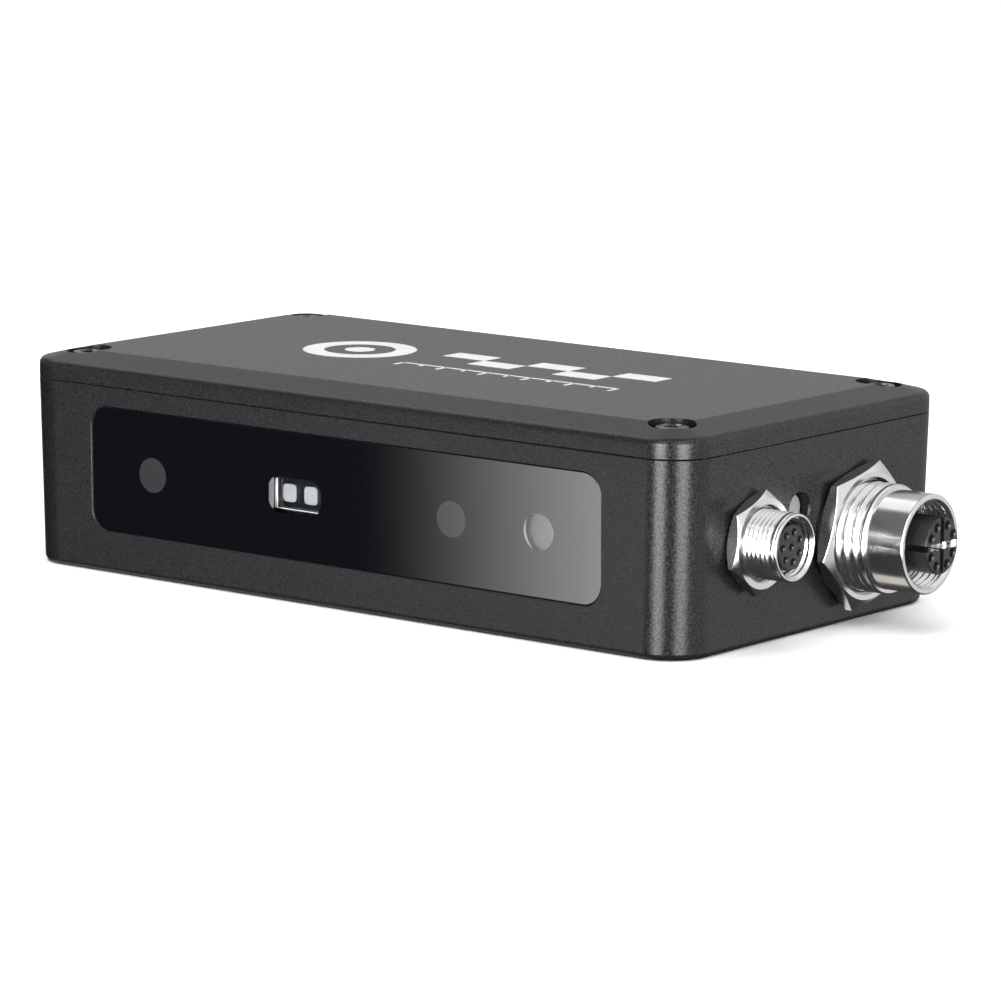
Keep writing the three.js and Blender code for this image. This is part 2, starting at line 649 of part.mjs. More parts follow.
for (const [name, c, seat] of [["m12", M12, m12Seat], ["m8", M8, m8Seat]]) {
  const sealInner = c.threadRadius + 0.45;
  piece(name + "_shell", NICKEL, connectorShell(c), seat);
  piece(name + "_lock_nut", NICKEL, lockNut(c), seat);
  piece(name + "_seal_ring", RUBBER, ring(sealInner, sealInner + c.sealWidth, -1.3, -TOUCH), seat);
}
piece("m12_insert", DARK_PLASTIC, m12Insert(), m12Seat);
piece("m8_insert", DARK_PLASTIC, m8Insert(), m8Seat);
piece("m12_contact_set", GOLD, contactSet(m12Contacts, 4.9, M12.back, 13.9, 0.3), m12Seat);
piece("m8_contact_set", GOLD, contactSet(m8Contacts, 3.2, M8.back, 5.8, 0.2), m8Seat);

const behind = (back) => BODY.width / 2 + back - 0.2;
piece(
  "m12_harness",
  CABLE,
  cable([[behind(M12.back), M12.y, M12.z], [46, M12.y, 12.4], [41.4, M12.y, 10.9], [39.25, M12.y, 10.8]], 2),
);
piece(
  "m8_harness",
  CABLE,
  cable(
    [
      [behind(M8.back), M8.y, M8.z], [47.5, -15.6, 15.1], [44, -12, 14.9],
      [43.5, -6, 14.3], [43.2, -0.9, 12.9], [41, 1.2, 10.9], [39.25, 1.2, 10.75],
    ],
    1.4,
  ),
);

// ---- Recessed reset button and its switch ----
const buttonFlangeFront = WALL_INSIDE - 0.4;
const buttonStemEnd = WALL_INSIDE - 6.6;
piece(
  "reset_button_cap",
  GREY_PLASTIC,
  turned(
    [
      [0, buttonStemEnd], [1.2, buttonStemEnd], [1.2, buttonFlangeFront - 0.7],
      [BUTTON.flangeRadius, buttonFlangeFront - 0.7], [BUTTON.flangeRadius, buttonFlangeFront],
      [BUTTON.radius, buttonFlangeFront], [BUTTON.radius, -BUTTON.sink - 0.15],
      [BUTTON.radius - 0.15, -BUTTON.sink], [0, -BUTTON.sink],
    ],
    16,
  ),
  buttonSeat,
);
piece(
  "button_seal",
  RUBBER,
  ring(BUTTON.radius + 0.3, BUTTON.flangeRadius + 0.2, buttonFlangeFront + TOUCH, WALL_INSIDE - TOUCH, 16),
  buttonSeat,
);
// The stem stops short of the plunger by its travel and a little more.
const plungerTop = buttonStemEnd - BUTTON.travel - 0.1;
const SWITCH = { size: 6, height: 2.9, plunger: 0.8, plungerRadius: 1.5 };
const switchBack = plungerTop - SWITCH.plunger - SWITCH.height;
piece(
  "tact_switch",
  DARK_PLASTIC,
  carve(slab(SWITCH.size, SWITCH.size, SWITCH.height, 0.5), {
    add: [drum(SWITCH.plungerRadius, SWITCH.height + SWITCH.plunger)],
  }),
  buttonSeat,
  [0, 0, switchBack],
);
// The small upright board reaches from the main board to above the switch.
const uprightHeight = 23 - BOARD_TOP;
piece(
  "button_board",
  PCB,
  slab(uprightHeight, 7, 1.2, 0.5),
  buttonSeat,
  [BUTTON.z - BOARD_TOP - uprightHeight / 2, 0, switchBack - 1.2 - TOUCH],
);

export default camera;
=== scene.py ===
"""An industrial stereo depth camera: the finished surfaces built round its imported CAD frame.

Shapes are worked out in millimetres in the part's frame (+X right, +Y back, +Z up) and turned into metres
once, when a mesh is made. A solid is a (vertices, faces) pair until piece() makes it an object.
"""

import math

import bpy
from mathutils import Matrix, Vector
from mathutils.noise import random, seed_set


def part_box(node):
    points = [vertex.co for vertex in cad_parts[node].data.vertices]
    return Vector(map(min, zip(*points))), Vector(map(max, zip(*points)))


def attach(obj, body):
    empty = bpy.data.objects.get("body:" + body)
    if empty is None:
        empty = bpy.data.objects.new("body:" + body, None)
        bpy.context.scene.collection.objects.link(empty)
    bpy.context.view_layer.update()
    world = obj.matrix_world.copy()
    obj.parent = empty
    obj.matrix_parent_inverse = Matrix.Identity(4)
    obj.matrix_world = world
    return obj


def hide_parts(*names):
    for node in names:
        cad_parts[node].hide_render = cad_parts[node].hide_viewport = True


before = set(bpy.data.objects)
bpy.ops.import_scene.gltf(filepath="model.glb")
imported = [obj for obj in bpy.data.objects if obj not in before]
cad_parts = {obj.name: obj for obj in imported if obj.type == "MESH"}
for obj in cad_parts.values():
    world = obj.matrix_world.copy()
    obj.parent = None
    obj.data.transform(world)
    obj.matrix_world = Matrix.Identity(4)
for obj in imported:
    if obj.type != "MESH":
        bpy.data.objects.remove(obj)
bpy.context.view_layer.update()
METRES = 0.001
TAU = 2 * math.pi

# ---- Driving dimensions, in millimetres, that the frame's boxes don't give ----
DRAFT = math.radians(1.08)  # lean of the casting's walls
CORNER = 6.6
SEAM = 28.2
SEAM_GAP = 0.08
PLATEAU_INSET = 5.8
CAVITY = {"width": 116.2, "depth": 57.6, "middle": 0.4, "corner": 3.5}
FLOOR = 3.0
SCREW_RECESS = {"radius": 3.4, "floor": 30.2}
BASE_HOLES = [(x, y) for x in (-36, 36) for y in (-18, 18)]
BOARD_SCREWS = [f"board_screw_{i}" for i in (1, 2, 3, 4)]
BRACKET_SCREWS = ["bracket_screw_left", "bracket_screw_right"]
WINDOW_OPENING = (89.0, 13.6)
M12 = {"thread": 7.9, "nose": 7.2, "thread_end": 6.6, "nose_end": 12.7, "bore": 6.1, "bore_depth": 5.1,
       "pitch": 1.5, "bore_pitch": 1.0, "flats": 19.0, "turn": -17, "nut_face": 9.2, "nut_slope": 22,
       "insert": 4.1}
M8 = {"thread": 4.9, "nose": 4.82, "thread_end": 6.75, "nose_end": 7.1, "bore": 4.05, "bore_depth": 2.9,
      "pitch": 0.75, "bore_pitch": 0.75, "flats": 13.0, "turn": -8, "nut_face": 6.4, "nut_slope": 32,
      "insert": 3.3}


def box_mm(node):
    """A CAD node's lowest and highest corners at rest, in millimetres."""
    low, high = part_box(node)
    return low / METRES, high / METRES


def centre_mm(node):
    low, high = box_mm(node)
    return (low + high) / 2


# ---- Solids ----
def polar(radius, degrees):
    return radius * math.cos(math.radians(degrees)), radius * math.sin(math.radians(degrees))


def arc(cx, cz, radius, start, end, steps):
    """Points round (cx, cz), in degrees, both ends included."""
    rays = [polar(radius, start + (end - start) * i / steps) for i in range(steps + 1)]
    return [(cx + x, cz + z) for x, z in rays]


def loft(rings, corner_steps=12):
    """A closed solid through rounded rectangles (width, depth, corner radius, z), from the bottom up."""
    verts, faces = [], []
    quarters = ((1, 1, 0), (-1, 1, 90), (-1, -1, 180), (1, -1, 270))
    for width, depth, radius, z in rings:
        for sx, sy, start in quarters:
            for x, y in arc(sx * (width / 2 - radius), sy * (depth / 2 - radius), radius,
                            start, start + 90, corner_steps):
                verts.append((x, y, z))
    n = 4 * (corner_steps + 1)
    for k in range(0, n * (len(rings) - 1), n):
        for i in range(n):
            j = (i + 1) % n
            faces.append((k + i, k + j, k + n + j, k + n + i))
    top = n * (len(rings) - 1)
    faces.append(tuple(range(n - 1, -1, -1)))
    faces.append(tuple(range(top, top + n)))
    return verts, faces


def slab(width, depth, height, radius=0.4, edge=0.0, corner_steps=6):
    """A rounded block standing on z = 0, with its upper and lower edges broken by `edge`."""
    if not edge:
        return loft([(width, depth, radius, 0), (width, depth, radius, height)], corner_steps)

    def ring(inset, z):
        return (width - 2 * inset, depth - 2 * inset, max(radius - inset, 0.02), z)

    low = [ring(edge, 0), ring(0.3 * edge, edge * 0.3), ring(0, edge)]
    high = [ring(0, height - edge), ring(0.3 * edge, height - edge * 0.3), ring(edge, height)]
    return loft(low + high, corner_steps)


def groove(turns):
    """Depth share of a thread's groove, from 0 on its narrow crest to 1 at the root."""
    crest, flank = 0.1, 0.82
    across = abs(2 * (turns % 1) - 1)
    return min(max((across - crest) / flank, 0), 1)


def lathe(profile, steps=96):
    """A solid of revolution about +Z through (radius, z) or (radius, z, groove depth, pitch) points, which
    run anticlockwise and close on themselves. A groove depth cuts a helical thread, outwards if negative."""
    verts, faces, rings = [], [], []
    for row in profile:
        radius, z, depth, pitch = (tuple(row) + (0, 1))[:4]
        count = steps if radius > 1e-6 else 1
        rings.append([len(verts) + k for k in range(count)])
        for k in range(count):
            reach = radius - depth * groove(z / pitch - k / steps)
            angle = TAU * k / steps
            verts.append((reach * math.cos(angle), reach * math.sin(angle), z))
    for i, lower in enumerate(rings):
        upper = rings[(i + 1) % len(rings)]
        if len(lower) == 1 and len(upper) == 1:
            continue
        for k in range(steps):
            j = (k + 1) % steps
            if len(lower) == 1:
                faces.append((lower[0], upper[j], upper[k]))
            elif len(upper) == 1:
                faces.append((lower[k], lower[j], upper[0]))
            else:
                faces.append((lower[k], lower[j], upper[j], upper[k]))
    return verts, faces


def thread(radius, start, end, pitch, depth, rows_a_turn=24):
    """Profile points of a threaded length whose groove fades in and out over the last half turns."""
    rows = max(4, round(abs(end - start) / pitch * rows_a_turn))
    points = []
    for i in range(rows + 1):
        z = start + (end - start) * i / rows
        fade = min(1, abs(z - start) / (0.5 * pitch), abs(end - z) / (0.5 * pitch))
        points.append((radius, z, depth * fade, pitch))
    return points


def drum(radius, height, steps=48):
    return lathe([(0, 0), (radius, 0), (radius, height), (0, height)], steps)


def tiny(width, depth, height, radius=0.1, edge=0.0):
    """A small block that needs few facets."""
    return slab(width, depth, height, radius, edge, 2)


def hex_nut(data, thickness, bore):
    """A hexagonal nut standing on z = 0, chamfered on both sides outside its round face."""
    steps, mouth, edge = 180, 0.5, 0.06
    face = data["nut_face"]
    verts, faces = [], []
    for k in range(steps):
        sixth = math.radians((k * 360 / steps) % 60 - 30)
        side = data["flats"] / 2 / math.cos(sixth)
        fall = (side - face) * math.tan(math.radians(data["nut_slope"]))
        angle = TAU * k / steps + math.radians(data["turn"])
        profile = [(bore + mouth, 0), (face, 0), (side - edge, fall), (side, fall + edge),
                   (side, thickness - fall - edge), (side - edge, thickness - fall), (face, thickness),
                   (bore + mouth, thickness)]
        for radius, z, depth, pitch in thread(bore, thickness - mouth, mouth, data["pitch"], -0.25, 8):
            profile.append((radius - depth * groove(z / pitch - k / steps), z))
        verts += [(r * math.cos(angle), r * math.sin(angle), z) for r, z in profile]
    n = len(verts) // steps
    for k in range(steps):
        j = (k + 1) % steps
        for i in range(n):
            m = (i + 1) % n
            faces.append((k * n + i, j * n + i, j * n + m, k * n + m))
    return verts, faces


def hexagon(flats, height):
    """A plain hexagonal prism standing on z = 0, for cutting sockets."""
    return drum(flats / math.sqrt(3), height, 6)


def catmull(points, per_span):
    """A smooth run of points through the given ones."""
    ends = [Vector(p) for p in (points[0], *points, points[-1])]
    smooth = []
    for a, b, c, d in zip(ends, ends[1:], ends[2:], ends[3:]):
        for t in [i / per_span for i in range(per_span)]:
            smooth.append(0.5 * (2 * b + (c - a) * t + (2 * a - 5 * b + 4 * c - d) * t * t
                                 + (3 * b - a - 3 * c + d) * t ** 3))
    return smooth + [ends[-1]]


def sweep(points, section):
    """A tube whose closed section, (side, up) offsets run anticlockwise, follows the points."""
    path = [Vector(p) for p in points]
    verts, faces = [], []
    up = Vector((0, 0, 1))
    for i, p in enumerate(path):
        along = (path[min(i + 1, len(path) - 1)] - path[max(i - 1, 0)]).normalized()
        side = along.cross(up).normalized()
        rise = side.cross(along)
        verts += [tuple(p + side * a + rise * b) for a, b in section]
    n = len(section)
    for i in range(len(path) - 1):
        for k in range(n):
            j = (k + 1) % n
            faces.append((i * n + k, i * n + j, (i + 1) * n + j, (i + 1) * n + k))
    faces.append(tuple(range(n - 1, -1, -1)))
    faces.append(tuple(range((len(path) - 1) * n, len(path) * n)))
    return verts, [tuple(reversed(f)) for f in faces]


# ---- Places ----
def shift(x, y, z):
    return Matrix.Translation((x, y, z))


def turned(degrees, axis="Z"):
    return Matrix.Rotation(math.radians(degrees), 4, axis)


def facing_right(node):
    """From local +Z up to the part's +X, on a node's axis, starting at the wall's plane at the seam."""
    c = centre_mm(node)
    return shift(box_mm("top_cover")[1].x, c.y, c.z) @ turned(90, "Y")


def outwards(node):
    """Where a node on the right wall starts and ends, from the wall's plane at the seam, and its radius."""
    low, high = box_mm(node)
    wall = box_mm("top_cover")[1].x
    return low.x - wall, high.x - wall, (high.y - low.y) / 2


def facing_front(node, y):
    """From local +Z up to the part's -Y, with local +Y up, on a node's axis and starting at y."""
    c = centre_mm(node)
    return shift(c.x, y, c.z) @ turned(90, "X")


def moved(solid, matrix):
    verts, faces = solid
    return [tuple(matrix @ Vector(v)) for v in verts], faces


def joined(solids):
    """Several separate solids as one mesh."""
    verts, faces = [], []
    for v, f in solids:
        start = len(verts)
        verts += v
        faces += [tuple(start + i for i in face) for face in f]
    return verts, faces


def column(node, radius, bottom, height, steps=48):
    """A cylinder standing at a node's place."""
    c = centre_mm(node)
    return moved(drum(radius, height, steps), shift(c.x, c.y, bottom))


# ---- Objects ----
def mesh_object(name, solid):
    verts, faces = solid
    mesh = bpy.data.meshes.new(name)
    mesh.from_pydata([Vector(v) * METRES for v in verts], [], faces)
    mesh.validate()
    obj = bpy.data.objects.new(name, mesh)
    bpy.context.scene.collection.objects.link(obj)
    return obj


def boolean(obj, solids, operation):
    """Joins or cuts each solid in turn and keeps the result as obj's mesh."""
    for i, solid in enumerate(solids):
        tool = mesh_object(f"tool_{i}", solid)
        modifier = obj.modifiers.new("cut", "BOOLEAN")
        modifier.operation = operation
        modifier.solver = "EXACT"
        modifier.object = tool
        bpy.context.view_layer.update()
        result = bpy.data.meshes.new_from_object(obj.evaluated_get(bpy.context.evaluated_depsgraph_get()))
        obj.modifiers.clear()
        obj.data = result
        bpy.data.objects.remove(tool)


def piece(name, solid, material, node=None, body="housing", first_cut=(), add=(), cut=(), sharp=32,
          flat=True):
    """Makes a finished piece that rides on a body and stands for a CAD node."""
    obj = mesh_object(name, solid)
    boolean(obj, first_cut, "DIFFERENCE")
    boolean(obj, add, "UNION")
    boolean(obj, cut, "DIFFERENCE")
    obj.data.materials.clear()
    obj.data.materials.append(material)
    finish_surface(obj, sharp, flat)
    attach(obj, body)
    if node:
        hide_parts(node)
    return obj


def finish_surface(obj, sharp, flat):
    """Smooth shading with sharp edges, and normals that follow the larger faces."""
    obj.data.polygons.foreach_set("use_smooth", [True] * len(obj.data.polygons))
    obj.data.set_sharp_from_angle(angle=math.radians(sharp))
    if flat:
        weights = obj.modifiers.new("even_flats", "WEIGHTED_NORMAL")
        weights.keep_sharp = True
        weights.weight = 80


# ---- Materials ----
class Nodes:
    """A node tree with short calls to add and link its nodes."""

    def __init__(self, tree):
        self.tree = tree

    def add(self, kind, inputs=(), **settings):
        made = self.tree.nodes.new("ShaderNode" + kind)
        for key, value in settings.items():
            setattr(made, key, value)
        for key, value in dict(inputs).items():
            self.feed(made.inputs[key], value)
        return made

    def feed(self, socket, value):
        if isinstance(value, bpy.types.NodeSocket):
            self.tree.links.new(value, socket)
        else:
            socket.default_value = value

    def ramp(self, value, low, high, to_low=0.0, to_high=1.0):
        made = self.add("MapRange", {
            "Value": value, "From Min": low, "From Max": high, "To Min": to_low, "To Max": to_high,
        }, interpolation_type="SMOOTHSTEP")
        return made.outputs["Result"]

    def math(self, operation, a, b=0.0):
        return self.add("Math", {0: a, 1: b}, operation=operation).outputs[0]

    def blend(self, share, first, second):
        """A mix of two shaders."""
        return self.add("MixShader", {0: share, 1: first, 2: second}).outputs[0]


class Shader(Nodes):
    """A new material, built on its Principled surface."""

    def __init__(self, name):
        self.material = bpy.data.materials.new(name)
        self.material.use_nodes = True
        super().__init__(self.material.node_tree)
        self.surface = self.tree.nodes["Principled BSDF"]

    def set(self, **values):
        for key, value in values.items():
            self.feed(self.surface.inputs[key.replace("_", " ")], value)

    def show(self, shader):
        """Puts another shader in the Principled surface's place."""
        self.feed(self.tree.nodes["Material Output"].inputs["Surface"], shader)

    def place(self, stretch=(1, 1, 1)):
        """The part frame's coordinates, in metres, which a piece keeps when it moves."""
        coords = self.add("TexCoord").outputs["Object"]
        if stretch == (1, 1, 1):
            return coords
        return self.add("Mapping", {"Vector": coords, "Scale": stretch}).outputs[0]

    def noise(self, scale, detail=2.0, roughness=0.5, stretch=(1, 1, 1)):
        return self.add("TexNoise", {
            "Vector": self.place(stretch), "Scale": scale, "Detail": detail, "Roughness": roughness,
        }).outputs["Fac"]

    def mix(self, share, first, second):
        made = self.add("Mix", {0: share, 6: first, 7: second}, data_type="RGBA")
        return made.outputs[2]

    def bump(self, height, distance, strength=1.0, after=None):
        made = self.add("Bump", {"Height": height, "Distance": distance, "Strength": strength})
        if after is not None:
            self.feed(made.inputs["Normal"], after)
        return made.outputs[0]

    def edges(self, radius):
        """0 on flats and 1 along convex edges, for wear."""
        rounded = self.add("Bevel", {"Radius": radius}, samples=4).outputs[0]
        plain = self.add("NewGeometry").outputs["Normal"]
        dot = self.add("VectorMath", {0: rounded, 1: plain}, operation="DOT_PRODUCT").outputs["Value"]
        return self.ramp(dot, 0.995, 0.93)

    def glass(self, tint, ior, roughness):
        """See-through with a mirror image, and no bending of what is behind it."""
        gloss = self.add("BsdfGlossy", {"Color": rgb(1, 1, 1), "Roughness": roughness}).outputs[0]
        through = self.add("BsdfTransparent", {"Color": tint}).outputs[0]
        return self.blend(self.add("Fresnel", {"IOR": ior}).outputs[0], through, gloss)


def rgb(r, g, b):
    return (r, g, b, 1.0)


def powder_coat():
    """Fine-textured black powder: pebbled grain, a few paler flecks, slightly polished edges."""
    s = Shader("powder_coat")
    pebbles = s.noise(3600, 2.0, 0.6)
    flecks = s.ramp(s.noise(4200, 1.0), 0.60, 0.74)
    clouds = s.noise(35, 2.0)
    tone = s.mix(clouds, rgb(0.0072, 0.0075, 0.0085), rgb(0.0098, 0.0101, 0.0112))
    s.set(Base_Color=s.mix(flecks, tone, rgb(0.024, 0.025, 0.027)))
    s.set(Roughness=s.ramp(pebbles, 0.3, 0.7, 0.20, 0.34))
    s.set(Specular_IOR_Level=s.ramp(pebbles, 0.36, 0.62, 0.21, 0.49))
    soft_edges = s.add("Bevel", {"Radius": 0.00012}, samples=4).outputs[0]
    s.set(Normal=s.bump(pebbles, 0.000010, 1.0, after=soft_edges))
    return s.material


def nickel():
    """Turned brass under bright nickel: faint rings from turning, a little haze."""
    s = Shader("nickel_plate")
    rings = s.noise(9000, 1.0, stretch=(1, 0.02, 0.02))
    haze = s.noise(220, 3.0)
    s.set(Base_Color=s.mix(haze, rgb(0.70, 0.70, 0.695), rgb(0.80, 0.80, 0.79)), Metallic=1.0)
    s.set(Roughness=s.ramp(haze, 0.3, 0.75, 0.15, 0.25), Normal=s.bump(rings, 0.000004, 0.5))
    return s.material


def dark_steel():
    """Black oxide screws, worn bright along their edges."""
    s = Shader("black_oxide_steel")
    worn = s.edges(0.00012)
    grain = s.noise(1800, 3.0)
    s.set(Base_Color=s.mix(worn, rgb(0.16, 0.16, 0.165), rgb(0.78, 0.77, 0.75)), Metallic=1.0)
    s.set(Roughness=s.ramp(grain, 0.3, 0.7, 0.14, 0.28))
    s.set(Normal=s.bump(grain, 0.000008, 0.6))
    return s.material


def plain(name, low, high, roughness, scale=900, grain=0.00001, metallic=0.0, specular=0.5, coat=0.0):
    """A moulded, cast or plated surface: two close tones, uneven gloss and a fine grain."""
    s = Shader(name)
    fine = s.noise(scale, 3.0)
    broad = s.noise(scale / 12, 2.0)
    s.set(Base_Color=s.mix(broad, rgb(*low), rgb(*high)), Metallic=metallic, Coat_Weight=coat)
    s.set(Roughness=s.ramp(fine, 0.3, 0.7, roughness * 0.85, roughness * 1.15), Specular_IOR_Level=specular)
    s.set(Normal=s.bump(fine, grain, 0.7))
    return s.material


def circuit_board():
    """Green solder mask over copper tracks, with rows of vias."""
    s = Shader("circuit_board")
    tracks = s.add("TexBrick", {
        "Vector": s.place(), "Scale": 260.0, "Mortar Size": 0.035, "Brick Width": 0.9, "Row Height": 0.22,
    }).outputs["Fac"]
    cells = s.add("TexVoronoi", {"Vector": s.place(), "Scale": 330.0}).outputs["Distance"]
    via = s.ramp(cells, 0.16, 0.13)
    mask = s.mix(tracks, rgb(0.008, 0.062, 0.032), rgb(0.015, 0.105, 0.05))
    s.set(Base_Color=s.mix(via, mask, rgb(0.42, 0.33, 0.14)))
    s.set(Roughness=0.28, Metallic=s.math("MULTIPLY", via, 0.9))
    s.set(Normal=s.bump(tracks, 0.00002, 0.5))
    return s.material


def window_print():
    """The front pane. Black ink covers it except over the colour camera and the projector, where the pane
    is clear, and over the two imagers, where the ink is a grey infrared-pass print. A ray that has come
    in through a clear part leaves by the back unhindered."""
    s = Shader("front_pane")
    across, _, up = s.add("SeparateXYZ", {0: s.place()}).outputs
    height = centre_mm("left_imager_lens").z * METRES

    def length(a, b):
        return s.math("SQRT", s.math("ADD", s.math("MULTIPLY", a, a), s.math("MULTIPLY", b, b)))

    def disc(node, radius):
        x = centre_mm(node).x * METRES
        far = length(s.math("SUBTRACT", across, x), s.math("SUBTRACT", up, height))
        return s.ramp(far, radius * METRES, (radius - 0.12) * METRES)

    def rounded(node, width, high, corner):
        """1 inside a rounded rectangle centred on a node."""
        centre = centre_mm(node) * METRES
        spans = []
        for axis, middle, size in ((across, centre.x, width), (up, centre.z, high)):
            gap = s.math("ABSOLUTE", s.math("SUBTRACT", axis, middle))
            spans.append(s.math("MAXIMUM", s.math("SUBTRACT", gap, (size / 2 - corner) * METRES), 0.0))
        return s.ramp(length(*spans), corner * METRES, (corner - 0.12) * METRES)

    grey = s.math("ADD", disc("left_imager_lens", 2.68), disc("right_imager_lens", 2.68))
    clear = s.math("ADD", disc("colour_camera_lens", 2.7), rounded("projector_glass", 10.1, 5.5, 2.2))
    dust = s.noise(1500, 2.0)
    s.set(Base_Color=s.mix(grey, rgb(0.0028, 0.003, 0.0039), rgb(0.026, 0.0265, 0.0278)))
    s.set(Roughness=s.ramp(dust, 0.4, 0.8, 0.02, 0.045), Specular_IOR_Level=0.5)
    inked = s.blend(clear, s.surface.outputs[0], s.glass(rgb(0.86, 0.87, 0.88), 1.49, 0.02))
    leaving = s.add("NewGeometry").outputs["Backfacing"]
    s.show(s.blend(leaving, inked, s.add("BsdfTransparent").outputs[0]))
    return s.material


def clear_glass():
    """A thin protective glass."""
    s = Shader("clear_glass")
    s.show(s.glass(rgb(0.93, 0.94, 0.95), 1.45, 0.03))
    return s.material


def painted_glow_surface(name, strength):
    """A pale surface with a faint emission, a painted glow, so it reads as lit behind the glass."""
    s = Shader(name)
    grain = s.noise(2600, 2.0)
    s.set(Base_Color=s.mix(grain, rgb(0.70, 0.70, 0.69), rgb(0.86, 0.86, 0.85)), Roughness=0.5)
    s.set(Emission_Color=rgb(0.91, 0.9, 0.89), Emission_Strength=strength)
    s.set(Normal=s.bump(grain, 0.00001, 0.4))
    return s.material


def lens_glass():
    """Coated lens: grey glass under a soft clear coat. A faint emission, patchy by noise, is a painted glow
    standing in for light caught in the glass, and a base colour paler towards glancing angles is a painted
    sheen.
    """
    s = Shader("lens_glass")
    # Painted sheen: the base colour gets paler towards glancing angles.
    fresnel = s.add("LayerWeight", {"Blend": 0.35}).outputs["Facing"]
    s.set(Base_Color=s.mix(fresnel, rgb(0.03, 0.03, 0.032), rgb(0.045, 0.045, 0.048)), Roughness=0.3)
    s.set(Coat_Weight=0.2, Coat_Roughness=0.12, Specular_IOR_Level=0.4)
    # Painted glow: a faint emission, patchy by noise.
    s.set(Emission_Color=rgb(1, 1, 1.02), Emission_Strength=s.ramp(s.noise(500, 2.0), 0.3, 0.8, 0.075, 0.115))
    s.set(Normal=s.bump(s.noise(400, 2.0), 0.000002, 0.3))
    return s.material


POWDER = powder_coat()
NICKEL = nickel()
OXIDE = dark_steel()
ZINC = plain("zinc_plate", (0.45, 0.46, 0.47), (0.6, 0.6, 0.59), 0.28, metallic=1.0)
ALUMINIUM = plain("machined_aluminium", (0.55, 0.56, 0.57), (0.68, 0.68, 0.69), 0.36, 1400, metallic=1.0)
CAN = plain("capacitor_can", (0.62, 0.63, 0.64), (0.74, 0.74, 0.74), 0.25, 500, metallic=1.0)
RUBBER = plain("silicone_rubber", (0.012, 0.012, 0.013), (0.022, 0.022, 0.023), 0.7, 1500, 0.00002)
INSERT = plain("insert_nylon", (0.009, 0.009, 0.0105), (0.016, 0.016, 0.0175), 0.3, 1800, 0.000012)
OPTIC = plain("optic_plastic", (0.012, 0.012, 0.013), (0.02, 0.02, 0.022), 0.55, 2000, 0.000015)
CHIP = plain("epoxy_package", (0.018, 0.018, 0.019), (0.032, 0.032, 0.033), 0.5, 2600, 0.00002)
GOLD = plain("gold_flash", (0.75, 0.53, 0.2), (0.86, 0.64, 0.29), 0.2, 800, metallic=1.0)
PALE = plain("natural_nylon", (0.62, 0.60, 0.52), (0.72, 0.70, 0.63), 0.45, 700, 0.00001)
# Painted glow: the projector frame and flank and the colour lens retainer glow faintly so they read as
# brightly lit.
TRIM_PAINTED_GLOW = painted_glow_surface("trim_painted_glow", 0.36)
PAD = plain("thermal_pad", (0.16, 0.27, 0.38), (0.22, 0.34, 0.45), 0.8, 900, 0.00005)
FILM = plain("polyimide_film", (0.36, 0.12, 0.015), (0.5, 0.19, 0.03), 0.22, 300, 0.00001, coat=0.6)
JACKET = plain("cable_jacket", (0.014, 0.014, 0.015), (0.026, 0.026, 0.028), 0.5, 1100, 0.00002)
BUTTON = plain("grey_moulding", (0.235, 0.235, 0.242), (0.3, 0.3, 0.308), 0.45, 1500, 0.00001)
TIN = plain("tinned_ends", (0.62, 0.62, 0.63), (0.74, 0.74, 0.74), 0.3, 900, metallic=1.0)
TAN = plain("ceramic_chips", (0.30, 0.21, 0.13), (0.40, 0.29, 0.19), 0.5, 1500)
WIRES = [JACKET] + [plain(f"wire_jacket_{name}", low, high, 0.42, 1100, 0.00001) for name, low, high in (
    ("white", (0.55, 0.55, 0.53), (0.65, 0.65, 0.63)), ("orange", (0.55, 0.17, 0.03), (0.65, 0.22, 0.05)),
    ("blue", (0.03, 0.09, 0.30), (0.05, 0.13, 0.38)))]
PRINT = plain("white_print", (0.46, 0.465, 0.475), (0.54, 0.545, 0.555), 0.6, 2600, 0.00002, specular=0.3)
PCB = circuit_board()
LENS = lens_glass()
CLEAR = clear_glass()
# Painted glow: the emitter tiles glow faintly so they read as lit in their recess.
EMITTER_PAINTED_GLOW = painted_glow_surface("emitter_face_painted_glow", 0.33)
PANE = window_print()


# ---- Casting and cover ----
COVER_LOW, COVER_HIGH = box_mm("top_cover")
WIDTH = COVER_HIGH.x - COVER_LOW.x
DEPTH = COVER_HIGH.y - COVER_LOW.y
RIM = SEAM - SEAM_GAP / 2
COVER_SCREWS = [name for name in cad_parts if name.startswith("cover_screw_")]
FINE = 16  # facets round each outer corner


def outline(inset, z, lean=0.0):
    """The box's outline at height z, stepped in by inset; a lean moves the walls and not the corners."""
    reach = 2 * (inset + lean)
    return (WIDTH - reach, DEPTH - reach, max(CORNER - inset, 1.2), z)


def window_seat():
    """Local +Z out of the front wall's leaning face, at the pane's height."""
    z = centre_mm("left_imager_lens").z
    y = -DEPTH / 2 + (SEAM - z) * math.tan(DRAFT)
    return shift(0, y, z) @ Matrix.Rotation(math.pi / 2 + DRAFT, 4, "X")


